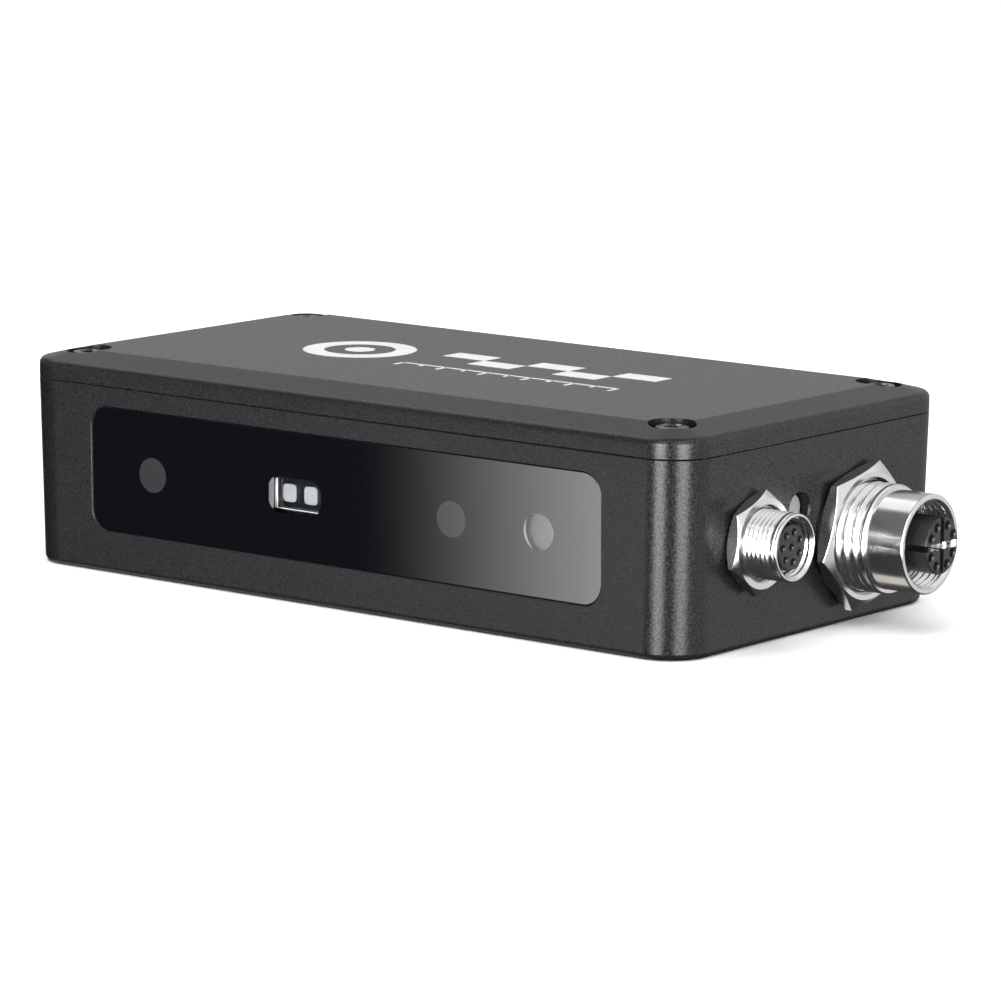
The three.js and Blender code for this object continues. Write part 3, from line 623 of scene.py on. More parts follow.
def build_housing():
    foot, lip = 1.0, 0.13
    walls = [(foot - x, z) for x, z in arc(0, foot, foot, 270, 360, 6)]
    walls += [(lip - x, z) for x, z in arc(0, RIM - lip, lip, 0, 90, 4)]
    rings = [outline(inset, z, (SEAM - z) * math.tan(DRAFT)) for inset, z in walls]
    width, depth, corner = CAVITY["width"], CAVITY["depth"], CAVITY["corner"]
    cavity = [(width - 2, depth - 2, corner - 1, FLOOR), (width, depth, corner, FLOOR + 1),
              (width, depth, corner, RIM + 5)]
    under, screw_clear = 0.05, 1.4
    # screws, their posts' radius and top, and their bores' radius and bottom
    supports = ((COVER_SCREWS, 4.2, RIM, 1.65, 20),
                (BOARD_SCREWS, 3.0, box_mm("main_board")[0].z - under, screw_clear, FLOOR),
                (BRACKET_SCREWS, 3.0, box_mm("stereo_bracket")[0].z - under, screw_clear, FLOOR))
    root = FLOOR - 0.5
    add, bores = [], []
    for names, radius, top, hole, bottom in supports:
        add += [column(name, radius, root, top - root) for name in names]
        bores += [column(name, hole, bottom, RIM, 32) for name in names]
    add += [moved(drum(4.0, 2.1), shift(x, y, root)) for x, y in BASE_HOLES]

    gasket_low, gasket_high = box_mm("cover_gasket")
    gasket = gasket_high - gasket_low
    groove_ring = ring_solid((gasket.x + 0.3, gasket.y + 0.3, CORNER - 1.0), 1.3, 2.0)

    pane_low, pane_high = box_mm("front_window")
    across, up = pane_high.x - pane_low.x + 0.12, pane_high.z - pane_low.z + 0.1
    seat_floor, corner, edge = -2.1, 3.26, 0.08
    wide = (across + 2 * edge, up + 2 * edge, corner + edge)
    pane_cut = [(across, up, corner, seat_floor), (across, up, corner, -edge), (*wide, 0.01), (*wide, 4)]
    seat = window_seat()
    cut = [moved(loft(cavity, 8), shift(0, CAVITY["middle"], 0)), moved(groove_ring, shift(0, 0, RIM - 1.0)),
           moved(loft(pane_cut, 10), seat), moved(slab(*WINDOW_OPENING, 12, 2.5), seat @ shift(0, 0, -8))]
    for name, data in (("m12", M12), ("m8", M8)):
        axis = facing_right(f"{name}_seal_ring")
        cut.append(moved(drum(data["thread"] + 0.4, 9), axis @ shift(0, 0, -6)))
        cut.append(moved(drum(outwards(f"{name}_seal_ring")[2] + 0.2, 4), axis @ shift(0, 0, -1.4)))
    hole = [(0, -6), (2.4, -6), (2.4, -0.45), (2.7, -0.12), (3.2, 3), (0, 3)]
    cut.append(moved(lathe(hole, 64), facing_right("reset_button_cap")))
    mouth = [(0, -1), (2.1, -1), (2.1, 0), (1.65, 0.45), (1.65, 3.6), (0, 3.6)]
    cut += bores + [moved(lathe(mouth, 32), shift(x, y, 0)) for x, y in BASE_HOLES]
    obj = piece("die_cast_housing", loft(rings, FINE), POWDER, "housing", add=add, cut=cut)
    obj.data.materials.append(RUBBER)
    to_seat = seat.inverted()
    for face in obj.data.polygons:  # the pane's seat and the recess walls round it take the black rubber finish, which draws a black outline round the pane
        x, y, z = to_seat @ (face.center / METRES)
        if abs(x) < across / 2 + 0.01 and abs(y) < up / 2 + 0.01 and seat_floor - 0.1 < z < -0.05:
            face.material_index = 1


def ring_solid(outer, width, height, corner_steps=FINE):
    """A closed rounded-rectangle ring standing on z = 0; outer is (width, depth, corner radius)."""
    w, d, r = outer
    big = loft([(w, d, r, 0), (w, d, r, height)], corner_steps)
    small = loft([(w - 2 * width, d - 2 * width, r - width, 0),
                  (w - 2 * width, d - 2 * width, r - width, height)], corner_steps)
    n = 4 * (corner_steps + 1)
    verts = big[0] + small[0]
    faces = big[1][:n] + [tuple(2 * n + i for i in reversed(f)) for f in small[1][:n]]
    for i in range(n):
        j = (i + 1) % n
        faces.append((j, i, 2 * n + i, 2 * n + j))
        faces.append((n + i, n + j, 3 * n + j, 3 * n + i))
    return verts, faces


def build_cover():
    low, high = SEAM + SEAM_GAP / 2, COVER_HIGH.z
    edge, shoulder, slope, soft = 0.12, 1.0, math.radians(13.7), 0.09
    fillet_end = shoulder * (1 - math.sin(slope))
    side_top = high - (PLATEAU_INSET - fillet_end) * math.tan(slope) - shoulder * math.cos(slope)
    profile = [(edge - x, z) for x, z in arc(0, low + edge, edge, -90, 0, 3)]
    profile += [(shoulder - x, z) for x, z in arc(0, side_top, shoulder, 0, 90 - math.degrees(slope), 8)]
    profile += [(PLATEAU_INSET - soft, high - soft * math.tan(slope)), (PLATEAU_INSET + soft, high)]
    rings = [outline(inset, z) for inset, z in profile]

    roof = 30.2
    cavity = slab(WIDTH - 7.2, DEPTH - 7.2, roof - low + 1, 3.0)
    lip = (CAVITY["width"] - 0.6, CAVITY["depth"] - 0.6, CAVITY["corner"])
    add = [moved(ring_solid(lip, 1.2, roof - low + 1.7, 8), shift(0, CAVITY["middle"], low - 1.5))]
    add += [column(name, 4.2, low, 2.4) for name in COVER_SCREWS]
    cut = [column(name, 5.4, low - 1.52, 1.52) for name in COVER_SCREWS]
    cut += [column(name, SCREW_RECESS["radius"], SCREW_RECESS["floor"], 4, 64) for name in COVER_SCREWS]
    cut += [column(name, 1.65, low - 1, 6, 32) for name in COVER_SCREWS]
    piece("screwed_cover", loft(rings, FINE), POWDER, "top_cover", body="cover",
          first_cut=[moved(cavity, shift(0, 0, low - 1))], add=add, cut=cut)


def build_gasket():
    low, high = box_mm("cover_gasket")
    width, depth, _ = high - low
    cord = ring_solid((width, depth, CORNER - 1.15), 1.0, SEAM - low.z)
    obj = piece("gasket_cord", moved(cord, shift(0, 0, low.z)), RUBBER, "cover_gasket")
    bevel = obj.modifiers.new("round_cord", "BEVEL")
    bevel.width, bevel.segments, bevel.limit_method = 0.3 * METRES, 3, "ANGLE"


def socket_screw(name, node, head, high, shank, socket, material, body):
    """A socket head cap screw with a chamfered head and a threaded shank."""
    low, top = box_mm(node)
    c = centre_mm(node)
    under = top.z - high
    length = under - low.z
    profile = [(0, -length), (shank * 0.7, -length), (shank, -length + 0.4)]
    profile += thread(shank, -length + 0.5, -0.6, 0.5, 0.16, 8)
    profile += [(shank, -0.3), (shank, 0), (head - 0.1, 0), (head, 0.1)]
    profile += [(head, high - 0.35)] + arc(head - 0.35, high - 0.35, 0.35, 20, 90, 4)
    profile += [(socket / 2 + 0.35, high), (socket / 2 + 0.12, high - 0.18), (0, high - 0.18)]
    place = shift(c.x, c.y, under)
    key = moved(hexagon(socket, high), place @ shift(0, 0, high * 0.35))
    piece(name, moved(lathe(profile, 48), place), material, node, body=body, cut=[key])


def build_screws():
    large, small = (2.5, 1.6, 1.35, 2.5, OXIDE, "cover"), (2.3, 1.5, 1.1, 2.0, ZINC, "housing")
    for names, old, new, sizes in ((COVER_SCREWS, "cover_screw", "lid_screw", large),
                                   (BOARD_SCREWS, "board_screw", "pcb_screw", small),
                                   (BRACKET_SCREWS, "bracket_screw", "optics_screw", small)):
        for node in names:
            socket_screw(node.replace(old, new), node, *sizes)


def build_window():
    low, high = box_mm("front_window")
    width, height, thick, sink, edge, corner = high.x - low.x, high.z - low.z - 0.05, 1.6, 0.25, 0.16, 3.2
    rings = [(width, height, corner, -sink - thick)]
    for i, z in arc(0, -sink - edge, edge, 0, 90, 4):
        rings.append((width - 2 * (edge - i), height - 2 * (edge - i), corner - (edge - i), z))
    piece("front_pane", moved(loft(rings, 12), window_seat()), PANE, "front_window")


# ---- Connectors ----
def build_shell(prefix, data, seat):
    """Turned shell: inner flange, threaded barrel, plain nose and a threaded mouth for the plug."""
    back, _, flange = outwards(f"{prefix}_shell")
    end, step, nose = data["nose_end"], data["thread_end"], data["nose"]
    throat, rear = (5.4, 7.0) if prefix == "m12" else (3.5, 4.6)
    wall = CAVITY["width"] / 2 - COVER_HIGH.x - 0.1
    mouth = end - data["bore_depth"]
    outer, bore, pitch, bore_pitch = data["thread"], data["bore"], data["pitch"], data["bore_pitch"]
    profile = [(throat, back), (rear - 0.2, back), (rear, back + 0.2), (rear, wall - 1.6)]
    profile += [(flange - 0.2, wall - 1.6), (flange, wall - 1.4), (flange, wall - 0.2), (flange - 0.2, wall)]
    profile += [(outer, wall)] + thread(outer, 0.4, step - 0.5, pitch, 0.5 * pitch)
    profile += [(outer, step - 0.2), (outer - 0.2, step), (nose + 0.02, step), (nose, step + 0.1)]
    profile += arc(nose - 0.22, end - 0.22, 0.22, 0, 90, 4) + [(bore + 0.4, end), (bore + 0.05, end - 0.35)]
    profile += thread(bore, end - 0.4, mouth + 0.3, bore_pitch, -0.42 * bore_pitch)
    profile += [(bore, mouth), (throat, mouth)]
    solid = moved(lathe(profile, 128), seat)
    piece(f"{prefix}_turned_shell", solid, NICKEL, f"{prefix}_shell", sharp=38, flat=False)


def build_nut(prefix, data, seat):
    back, front, _ = outwards(f"{prefix}_lock_nut")
    solid = hex_nut(data, front - back, data["thread"] + 0.12)
    piece(f"{prefix}_hex_nut", moved(solid, seat), NICKEL, f"{prefix}_lock_nut", sharp=14)


def contact_spots(prefix):
    """Contact centres in the seat's own plane, with the radius of each hole."""
    if prefix == "m12":
        return [polar(3.05, quarter + side) for quarter in (45, 135, 225, 315) for side in (-19, 19)], 0.58
    return [(0, 0)] + [polar(2.15, 114 + i * 360 / 7) for i in range(7)], 0.42


def build_insert(prefix, data, seat):
    """Moulded carrier with a countersunk hole for each contact."""
    back, face, _ = outwards(f"{prefix}_insert")
    spots, radius = contact_spots(prefix)
    nose = data["insert"]
    profile, cut = [(0, back), (nose, back)], []
    if prefix == "m12":
        step, slot = data["nose_end"] - data["bore_depth"] - 0.2, 0.95
        profile = [(0, back), (5.2, back), (5.2, step - 0.2), (5.0, step), (nose, step)]
        cut = [moved(tiny(*size, 8), shift(0, 0, face - 5)) for size in ((slot, 12), (12, slot))]
    profile += arc(nose - 0.25, face - 0.25, 0.25, 0, 90, 4) + [(0, face)]
    dip = [(0, back - 1), (radius, back - 1), (radius, face - 0.22), (radius + 0.2, face + 0.01),
           (radius + 0.2, face + 1), (0, face + 1)]
    cut.append(joined([moved(lathe(dip, 20), shift(x, y, 0) @ turned(3.7)) for x, y in spots]))
    piece(f"{prefix}_contact_carrier", moved(lathe(profile, 80), seat), INSERT, f"{prefix}_insert",
          cut=[moved(t, seat) for t in cut])


def build_contacts(prefix, seat):
    """Sprung sockets in the carrier's holes and the potted disc behind them."""
    back, top, disc = outwards(f"{prefix}_contact_set")
    spots, radius = contact_spots(prefix)
    outer, inner = radius * 0.8, radius * 0.5
    pin = [(0, back + 1), (outer, back + 1), (outer, top - 0.1), (outer - 0.05, top), (inner + 0.05, top),
           (inner, top - 0.1), (inner, top - 2.5), (0, top - 2.5)]
    rim = disc - 0.15
    base = [(0, back), (rim, back), (disc, back + 0.15), (disc, back + 1.5), (rim, back + 1.7),
            (0, back + 1.7)]
    solids = [moved(lathe(pin, 16), shift(x, y, 0)) for x, y in spots] + [lathe(base, 48)]
    piece(f"{prefix}_sockets", moved(joined(solids), seat), GOLD, f"{prefix}_contact_set")


def build_seal(prefix, data, seat):
    bottom, top, outer = outwards(f"{prefix}_seal_ring")
    inner = data["thread"] + 0.45
    middle, half, rise = (inner + outer) / 2, (outer - inner) / 2, (top - bottom) / 2
    section = [(middle + half * x, bottom + rise + rise * z) for x, z in arc(0, 0, 1, 0, 330, 11)]
    piece(f"{prefix}_o_ring", moved(lathe(section, 64), seat), RUBBER, f"{prefix}_seal_ring")


def build_connectors():
    for prefix, data in (("m12", M12), ("m8", M8)):
        seat = facing_right(f"{prefix}_seal_ring")
        build_shell(prefix, data, seat)
        build_nut(prefix, data, seat)
        build_insert(prefix, data, seat)
        build_contacts(prefix, seat)
        build_seal(prefix, data, seat)


def build_button():
    back, face, flange = outwards("reset_button_cap")
    front = CAVITY["width"] / 2 - COVER_HIGH.x - 0.4
    cap = 2.2
    profile = [(0, back), (1.1, back), (1.2, back + 0.1), (1.2, front - 0.7), (flange - 0.1, front - 0.7),
               (flange, front - 0.6), (flange, front - 0.1), (flange - 0.1, front), (cap, front)]
    profile += arc(cap - 0.2, face - 0.2, 0.2, 0, 90, 4) + [(1.6, face), (0.8, face - 0.06), (0, face - 0.08)]
    solid = moved(lathe(profile, 64), facing_right("reset_button_cap"))
    piece("button_cap", solid, BUTTON, "reset_button_cap", body="reset_button")


# ---- Optics behind the window ----
def build_projector():
    """Two pale emitter tiles on a dark carrier, in a thin frame open at the top, with a pale flank; tiles,
    frame and flank carry a painted glow that makes them read as brightly lit.
    """
    for side in ("left", "right"):
        node = f"projector_emitter_{side}"
        low, high = box_mm(node)
        tile = slab(high.x - low.x - 0.15, high.z - low.z, 0.2, 0.6, 0.05)
        piece(f"emitter_tile_{side}", moved(tile, facing_front(node, low.y + 0.2)), EMITTER_PAINTED_GLOW, node)
    face = facing_front("projector_glass", box_mm("projector_housing")[0].y)
    low, high = box_mm("projector_glass")
    width, height = high.x - low.x, high.z - low.z
    outer = moved(slab(width + 0.7, 4.4, 0.2, 0.3, 0.03), shift(0, -0.26, 0))
    inner = moved(slab(width - 0.05, 4.7, 2, 0.2), shift(0.05, -0.03, -1))
    piece("projector_frame", moved(outer, face), TRIM_PAINTED_GLOW, cut=[moved(inner, face)])
    flank = slab(0.8, height, 0.2, 0.3, 0.05)
    left = face @ shift(-width / 2 - 1.1, 0, 0)
    piece("projector_flank", moved(flank, left), TRIM_PAINTED_GLOW)


def barrel(node, name, glass_share):
    """A threaded lens barrel with a stepped front and a domed glass, looking along -Y."""
    low, high = box_mm(node)
    radius, length = (high.x - low.x) / 2, high.y - low.y
    glass, dip = radius * glass_share, length - 0.7
    profile = [(0, 0), (radius - 0.3, 0)] + thread(radius - 0.12, 0.2, length - 0.9, 0.5, 0.16, 8)
    profile += [(radius, length - 0.8), (radius, length - 0.25), (radius - 0.25, length),
                (glass + 0.1, length), (glass, length - 0.12), (glass, dip), (0, dip)]
    back = facing_front(node, high.y)
    piece(name, moved(lathe(profile, 64), back), OPTIC)
    dome = [(0, dip + 0.02), (glass - 0.03, dip + 0.02)]
    dome += [(glass * x, length - 0.3 + 0.1 * z) for x, z in arc(0, 0, 1, 0, 75, 5)] + [(0, length - 0.2)]
    piece(f"{name}_glass", moved(lathe(dome, 48), back), LENS, node)


def build_optics():
    build_projector()
    barrel("left_imager_lens", "left_barrel", 0.7)
    barrel("right_imager_lens", "right_barrel", 0.7)
    barrel("colour_camera_lens", "colour_barrel", 0.93)
    ring = [(3.95, -0.3), (4.15, -0.3), (4.15, 0.12), (4.08, 0.16), (3.98, 0.16), (3.95, 0.12)]
    seat = facing_front("colour_camera_lens", box_mm("colour_camera_lens")[0].y)
    # The retainer ring's brightness is a painted glow.
    piece("colour_retainer", moved(lathe(ring, 64), seat), TRIM_PAINTED_GLOW)
    for node in ("left_imager_holder", "right_imager_holder", "colour_camera_holder"):
        low, high = box_mm(node)
        size, deep = high.x - low.x, high.y - low.y
        collar = [(3.0, deep - 0.5), (4.1, deep - 0.5), (4.1, deep - 0.15), (3.95, deep), (3.0, deep)]
        seat = facing_front(node, high.y)
        hole = moved(drum(3.0, 5), seat @ shift(0, 0, 0.6))
        block = moved(slab(size, size, deep, 0.9, 0.25), seat)
        piece(node.replace("holder", "block"), block, OPTIC, node, cut=[hole])
        piece(node.replace("holder", "collar"), moved(lathe(collar, 48), seat), OPTIC)


# ---- Boards and what stands on them ----
def footing(node):
    """A node's size and the place of the middle of its base."""
    low, high = box_mm(node)
    return high - low, shift((low.x + high.x) / 2, (low.y + high.y) / 2, low.z)


def pin_row(count, pitch, reach, height, thick=0.12, wide=0.32):
    """Gull-wing pins along X that leave a package at y = 0 towards +Y."""
    pins = []
    for k in range(count):
        x = (k - (count - 1) / 2) * pitch
        path = [(x, -0.1, height), (x, reach * 0.35, height), (x, reach * 0.55, thick), (x, reach, thick / 2)]
        pins.append(sweep(path, [(wide / 2, 0), (0, thick / 2), (-wide / 2, 0), (0, -thick / 2)]))
    return pins


def build_packages():
    legs, frames = [], []
    packages = (("vision_processor", 0, 0, 0), ("memory_chip_1", 0, 0, 0), ("memory_chip_2", 0, 0, 0),
                ("flash_chip", 4, 1.27, 1.0), ("ethernet_magnetics", 8, 1.27, 1.1))
    for node, pins, pitch, reach in packages:
        size, place = footing(node)
        body = slab(size.x, size.y - 2 * reach, size.z, 0.25, 0.12)
        if not pins:
            carrier = slab(size.x, size.y, size.z * 0.35, 0.2)
            body = slab(size.x - 1.2, size.y - 1.2, size.z, 0.3, 0.1)
            piece(f"{node}_carrier", moved(carrier, place), PCB)
        corner = place @ shift(-size.x / 2 + 1.6, -size.y / 2 + reach + 1.6, size.z - 0.06)
        piece(f"{node}_package", moved(body, place), CHIP, node, cut=[moved(drum(0.32, 1, 24), corner)])
        for side in (Matrix(), turned(180)):
            row = place @ side @ shift(0, size.y / 2 - reach, 0)
            legs += [moved(pin, row) for pin in pin_row(pins, pitch, reach, size.z * 0.5)]
        printed = ring_solid((size.x + 1.0, size.y + 1.0, 0.4), 0.14, 0.02, 4)
        frames.append(moved(printed, place @ shift(0, 0, -0.05)))
    piece("package_pins", joined(legs), TIN)
    piece("board_legend", joined(frames), PRINT)


def build_chip_parts():
    """Small two-terminal parts on a loose grid over the free board, the same on every run."""
    board_low, board_high = box_mm("main_board")
    top, gap, pitch, columns, rows = board_high.z, 1.5, 2.3, 41, 14
    length, wide, heights = 1.5, 0.8, {"tan": 0.7, "black": 0.4}
    taken = []
    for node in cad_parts:
        low, high = box_mm(node)
        if top - 0.2 < low.z < top + 3 or node in BOARD_SCREWS:
            taken.append((low.x - gap, high.x + gap, low.y - gap, high.y + gap))
    seed_set(7)
    bodies, ends = {"tan": [], "black": []}, []
    for i in range(columns):
        for j in range(rows):
            x, y = board_low.x + 2 + i * pitch, board_low.y + 1.7 + j * pitch
            draw, sideways, kind = random(), random() < 0.5, random()
            blocked = any(left < x < right and front < y < back for left, right, front, back in taken)
            if blocked or draw > 0.5:
                continue
            place = shift(x, y, top) @ turned(90 if sideways else 0)
            tone = "tan" if kind < 0.55 else "black"
            bodies[tone].append(moved(tiny(length * 0.62, wide, heights[tone], 0.05), place))
            for end in (-1, 1):
                cap = tiny(length * 0.19, wide + 0.02, heights[tone] + 0.02, 0.06)
                ends.append(moved(cap, place @ shift(end * length * 0.405, 0, 0)))
    piece("ceramic_chip_parts", joined(bodies["tan"]), TAN)
    piece("resistor_parts", joined(bodies["black"]), CHIP)
    piece("chip_part_ends", joined(ends), TIN)


def build_capacitors():
    for i in (1, 2):
        size, place = footing(f"capacitor_{i}")
        r, h = size.x / 2 - 0.1, size.z
        base = [(size.x, size.y, 0.9, 0), (size.x, size.y, 0.9, 1.0), (size.x - 0.3, size.y - 0.3, 0.8, 1.1)]
        can = [(0, 1.1), (r - 0.2, 1.1), (r, 1.3), (r, 1.7), (r - 0.25, 1.95), (r - 0.25, 2.1), (r, 2.35)]
        can += arc(r - 0.4, h - 0.45, 0.4, 0, 90, 5)
        can += [(r - 0.7, h - 0.05), (r - 0.8, h - 0.15), (0, h - 0.15)]
        stripe = arc(0, 0, r - 0.85, 120, 240, 16)
        n = len(stripe)
        verts = [(x, y, z) for z in (h - 0.15, h - 0.12) for x, y in stripe]
        faces = [tuple(range(n - 1, -1, -1)), tuple(range(n, 2 * n))]
        faces += [(k, (k + 1) % n, n + (k + 1) % n, n + k) for k in range(n)]
        piece(f"capacitor_base_{i}", moved(loft(base, 4), place), CHIP)
        piece(f"capacitor_can_{i}", moved(lathe(can, 56), place), CAN, f"capacitor_{i}")
        piece(f"capacitor_mark_{i}", moved((verts, faces), place), RUBBER)


def build_power_parts():
    size, place = footing("power_inductor")
    ferrite = slab(size.x, size.y, size.z, 1.3, 0.35)
    dish = lathe([(0, size.z - 0.3), (2.1, size.z - 0.3), (2.6, size.z + 0.1), (0, size.z + 0.1)], 40)
    piece("inductor_block", moved(ferrite, place), CHIP, "power_inductor", cut=[moved(dish, place)])

    size, place = footing("heat_spreader")
    block = slab(size.x, size.y, size.z, 1.5, 0.35)
    slots = [moved(tiny(size.x + 4, 1.6, size.z), place @ shift(0, y, 3.5)) for y in (-12.2, 12.2)]
    holes = [moved(drum(1.6, 30, 24), place @ shift(x, y, -1)) for x in (-14.2, 14.2) for y in (-9.0, 9.0)]
    piece("spreader_block", moved(block, place), ALUMINIUM, "heat_spreader", cut=slots + holes)

    for node, edge in (("processor_pad", 0.2), ("cover_gap_pad", 0.45)):
        size, place = footing(node)
        piece(f"{node}_sheet", moved(slab(size.x, size.y, size.z, 0.8, edge, 8), place), PAD, node)


def build_headers():
    """White shrouded headers: a walled box open at the top, with a row of pins."""
    pins = []
    for prefix, count in (("m12", 5), ("m8", 2)):
        size, place = footing(f"{prefix}_header")
        inner = slab(size.x - 1.4, size.y - 1.2, size.z, 0.2)
        key = tiny(0.9, size.y * 0.45, size.z)
        cut = [moved(inner, place @ shift(-0.2, 0, 1.0)), moved(key, place @ shift(size.x / 2 - 0.3, 0, 1.6))]
        block = moved(slab(size.x, size.y, size.z, 0.35, 0.12), place)
        piece(f"{prefix}_plug_header", block, PALE, f"{prefix}_header", cut=cut)
        for k in range(count):
            y = (k - (count - 1) / 2) * 1.25
            pins.append(moved(tiny(0.5, 0.5, size.z - 1.4, 0.05, 0.04), place @ shift(-0.9, y, 0.9)))
    piece("header_pins", joined(pins), TIN)


def build_harness(prefix, route, start, turns):
    """Eight twisted wires from the potted disc to the header, in four jacket colours."""
    spine = catmull(route, 6)
    wires, section = 8, arc(0, 0, 0.36, 0, 324, 9)
    colours = [[] for _ in WIRES]
    for k in range(wires):
        path = []
        for i, p in enumerate(spine):
            t = i / (len(spine) - 1)
            out, up = polar(start * (0.35 + 0.65 * (2 * t - 1) ** 2), 360 * (k / wires + turns * t))
            path.append(p + Vector((0, out, up)))
        colours[k % len(WIRES)].append(sweep(path, section))
    for k, material in enumerate(WIRES):
        node = f"{prefix}_harness" if k == 0 else None
        piece(f"{prefix}_wires_{k + 1}", joined(colours[k]), material, node, sharp=60)


def build_wiring():
    y = centre_mm("m12_seal_ring").y
    round_board = [(47.5, -15.6, 15.1), (44, -12, 14.9), (43.4, -6, 14.3), (43, -0.9, 12.9), (41, 1.2, 11.3)]
    for prefix, middle, spread, turns in (("m12", [(46, y, 12.4), (42.5, y, 11.6)], 1.25, 0.9),
                                          ("m8", round_board, 0.75, 2.5)):
        low, high = box_mm(f"{prefix}_harness")
        c, h = centre_mm(f"{prefix}_seal_ring"), centre_mm(f"{prefix}_header")
        route = [(high.x - 0.1, c.y, c.z), *middle, (low.x + 0.1, h.y, h.z)]
        build_harness(prefix, route, spread, turns)


def build_switch():
    low, high = box_mm("tact_switch")
    c = centre_mm("tact_switch")
    side = shift(low.x, c.y, c.z) @ turned(90, "Y")
    square, tall = high.y - low.y, high.x - low.x
    can = slab(square, square, tall - 0.6, 0.5, 0.15)
    knob = lathe([(0, 0.5), (1.75, 0.5), (1.75, tall - 0.15), (1.6, tall), (0, tall)], 40)
    legs = [moved(tiny(0.7, 0.9, 0.25), side @ shift(x, y, 0)) for x in (-3.3, 3.3) for y in (-2, 2)]
    piece("switch_can", moved(can, side), TIN, "tact_switch")
    piece("switch_knob", moved(knob, side), CHIP)
    piece("switch_legs", joined(legs), TIN)


def build_flex_sockets():
    for node, name in (("flex_socket_main", "lower"), ("flex_socket_stereo", "upper")):
        low, high = box_mm(node)
        c = centre_mm(node)
        wide, deep, tall = high - low
        place = shift(c.x, c.y, low.z)
        if name == "upper":
            deep, tall = tall, deep
            place = shift(c.x, low.y, c.z) @ turned(-90, "X")
        body = slab(wide, deep * 0.62, tall, 0.2, 0.08)
        latch = slab(wide - 0.8, deep * 0.36, tall * 0.8, 0.2, 0.1)
        slit = moved(tiny(12.4, deep, 0.5), place @ shift(0, deep * 0.4, tall * 0.45))
        piece(f"{name}_flex_socket", moved(body, place @ shift(0, -deep * 0.19, 0)), PALE, node, cut=[slit])
        piece(f"{name}_flex_latch", moved(latch, place @ shift(0, deep * 0.31, 0)), CHIP)


# ---- Cover print ----
def build_print():
    """A plain datum graphic: a ring with a dot over the baseline's middle third, a scale bar and a ruler."""
    top, high = COVER_HIGH.z, 0.02
    solids = []

    def block(x, y, wide, deep):
        solids.append(moved(tiny(wide, deep, high, 0.15), shift(x, y, top)))

    ring = [(5.4, 0), (8.6, 0), (8.6, high), (5.4, high)]
    for shape in (lathe(ring, 96), drum(2.3, high, 64)):
        solids.append(moved(shape, shift(-22.5, 0, top)))
    left, step, rows = -9.0, 7.9, 5
    for k in range(rows):
        block(left + (k + 0.5) * step, 5.2 - 4.2 * (k % 2), step, 4.2)
    middle = left + rows * step / 2
    block(middle, -6.0, rows * step, 0.6)
    for k in range(2 * rows + 1):
        long = 2.4 if k % 2 == 0 else 1.4
        block(left + k * step / 2, -6.0 - long / 2, 0.6, long)
    piece("datum_print", joined(solids), PRINT, body="cover", flat=False)


# ---- Stage ----
CAMERA = {"azimuth": 38.0, "elevation": 9.84, "roll": 0.536, "distance": 763.0, "side": 3.64, "up": -2.2,
          "lens": 184.6}


def add_camera():
    turn = turned(CAMERA["azimuth"]) @ turned(90 - CAMERA["elevation"], "X") @ turned(CAMERA["roll"])
    place = Vector((0, 0, SEAM / 2)) + turn @ Vector((CAMERA["side"], CAMERA["up"], CAMERA["distance"]))
    data = bpy.data.cameras.new("camera")
    data.lens, data.sensor_width, data.clip_start = CAMERA["lens"], 36.0, 0.01
    camera = bpy.data.objects.new("camera", data)
    camera.matrix_world = Matrix.Translation(place * METRES) @ turn
    bpy.context.scene.collection.objects.link(camera)
    bpy.context.scene.camera = camera


def add_world():
    """A studio seen in reflections: soft boxes by azimuth (0 is in front, 90 right) and elevation."""
    world = bpy.data.worlds.new("studio")
    bpy.context.scene.world = world
    world.use_nodes = True
    world.node_tree.nodes.clear()
    n = Nodes(world.node_tree)
    x, y, z = n.add("SeparateXYZ", {0: n.add("TexCoord").outputs["Generated"]}).outputs
    azimuth = n.math("MULTIPLY", n.math("ARCTAN2", x, n.math("MULTIPLY", y, -1.0)), 180 / math.pi)
    elevation = n.math("MULTIPLY", n.math("ARCSINE", z), 180 / math.pi)

    def within(angle, low, high, soft_low, soft_high):
        """1 from low to high, fading to 0 over the soft degrees on each side."""
        rise = n.ramp(angle, low - soft_low, low)
        return n.math("MULTIPLY", rise, n.ramp(angle, high, high + soft_high, 1.0, 0.0))

    glows = []
    for sides, heights, soft, level, tint in SOFT_BOXES:
        across, up = within(azimuth, *sides, *soft[:2]), within(elevation, *heights, *soft[2:])
        mask = n.math("MULTIPLY", across, up)
        glow = n.add("VectorMath", {0: [level * c for c in tint], "Scale": mask}, operation="SCALE")
        glows.append(glow.outputs[0])
    total = glows[0]
    for glow in glows[1:]:
        total = n.add("VectorMath", {0: total, 1: glow}, operation="ADD").outputs[0]
    studio = n.add("Background", {"Color": total}).outputs[0]
    paper = n.add("Background", {"Color": rgb(1, 1, 1)}).outputs[0]
    seen = n.add("LightPath").outputs["Is Camera Ray"]
    n.add("OutputWorld", {"Surface": n.blend(seen, studio, paper)})


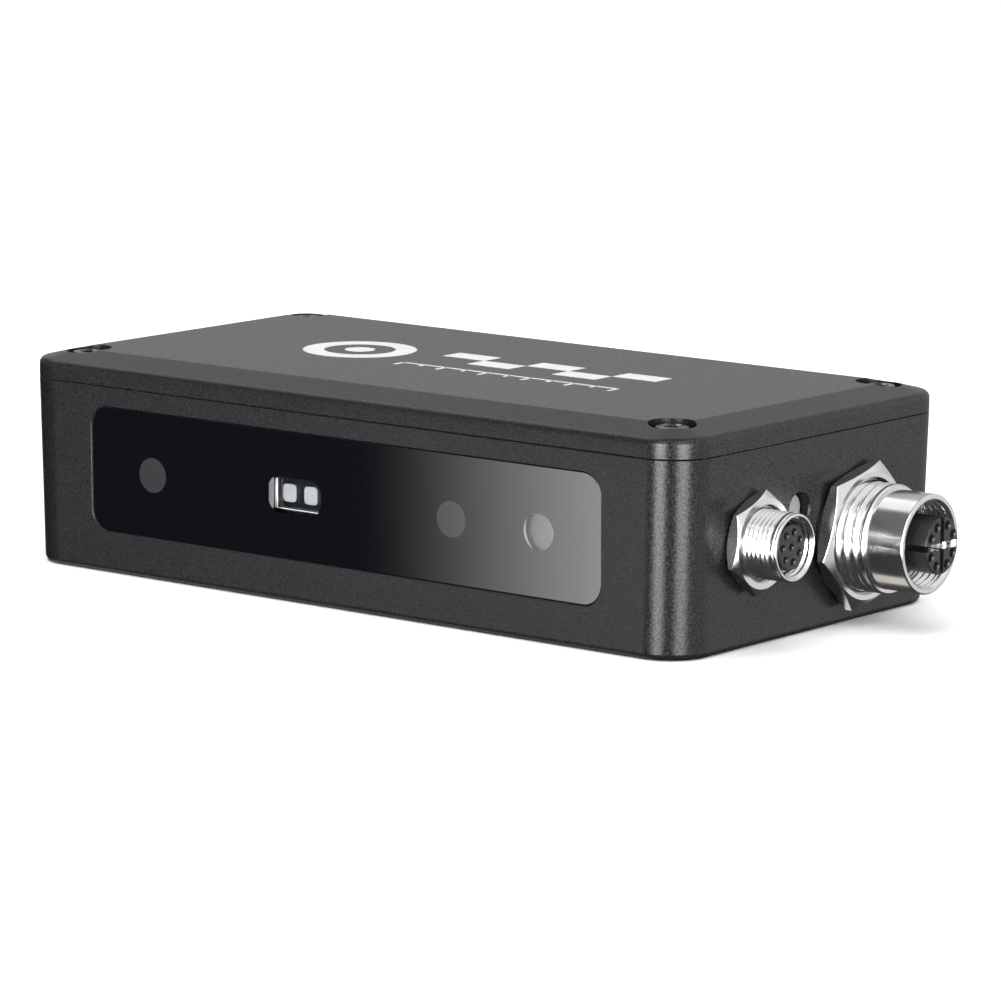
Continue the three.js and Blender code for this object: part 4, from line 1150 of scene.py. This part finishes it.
NEUTRAL = (1.0, 1.0, 1.0)
WARM = (1.0, 0.93, 0.87)
EVERYWHERE = (-200, 200)
SOFT_BOXES = [  # azimuths, elevations, soft edges (left, right, below, above) in degrees, brightness, tint
    (EVERYWHERE, (-90, -24), (8, 8, 3, 3), 0.05, NEUTRAL),
    (EVERYWHERE, (0, 90), (6, 6, 6, 6), 0.165, NEUTRAL),
    ((-35.5, -33), (-14, -10.5), (4.4, 3, 1.5, 1.5), 8.4, NEUTRAL),
    ((-4, 17), (-6, 9), (3, 3, 18, 9), 17.5, NEUTRAL),
    ((-4, 17), (7, 66), (3, 3, 9, 10), 3.2, NEUTRAL),
    ((50, 74), (-6, 9), (3, 3, 18, 9), 15.0, NEUTRAL),
    ((50, 74), (7, 60), (3, 3, 9, 8), 3.2, NEUTRAL),
    ((80, 152), (-20, 70), (3, 8, 3, 8), 0.82, NEUTRAL),
    ((-126, -70), (42, 66), (6, 9, 6, 6), 1.25, NEUTRAL),
    ((-70, -39), (2.5, 6), (2.5, 2.5, 2.5, 2.5), 0.9, NEUTRAL),
    ((-113, -66), (-66, -36), (3, 3, 3, 3), 0.75, WARM),
    ((160, 200), (-25, 55), (8, 1, 10, 10), 0.5, NEUTRAL),
    ((-200, -122), (-15, 55), (1, 10, 10, 10), 0.35, NEUTRAL),
]


def add_stage():
    far, below = 1500, -0.02
    corners = [(-far, -far, 0), (far, -far, 0), (far, far, 0), (-far, far, 0)]
    floor = mesh_object("floor", (corners, [(0, 1, 2, 3)]))
    floor.location.z = below * METRES
    paper = plain("floor_paper", (0.86, 0.86, 0.86), (0.90, 0.90, 0.90), 0.9, 60, 0.00001, specular=0.1)
    floor.data.materials.append(paper)
    floor.visible_glossy = False
    light = bpy.data.lights.new("overhead", "AREA")
    light.shape, light.size, light.size_y, light.energy = "RECTANGLE", 0.9, 0.9, 9.0
    lamp = bpy.data.objects.new("overhead", light)
    lamp.location = (-0.1, -0.1, 0.9)
    lamp.visible_glossy = False
    bpy.context.scene.collection.objects.link(lamp)
    bpy.context.scene.view_settings.view_transform = "Standard"


for build in (build_housing, build_cover, build_gasket, build_screws, build_window, build_connectors,
              build_button, build_optics, build_packages, build_chip_parts, build_capacitors,
              build_power_parts, build_headers, build_wiring, build_switch, build_flex_sockets, build_print,
              add_world, add_camera, add_stage):
    build()

KEPT_NODES = {
    "window_gasket": RUBBER, "button_seal": RUBBER, "stereo_bracket": ALUMINIUM, "stereo_board": PCB,
    "main_board": PCB, "button_board": PCB, "projector_housing": OPTIC, "projector_glass": CLEAR,
    "flex_cable": FILM,
}
for node, material in KEPT_NODES.items():
    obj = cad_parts[node]
    obj.data.materials.clear()
    obj.data.materials.append(material)
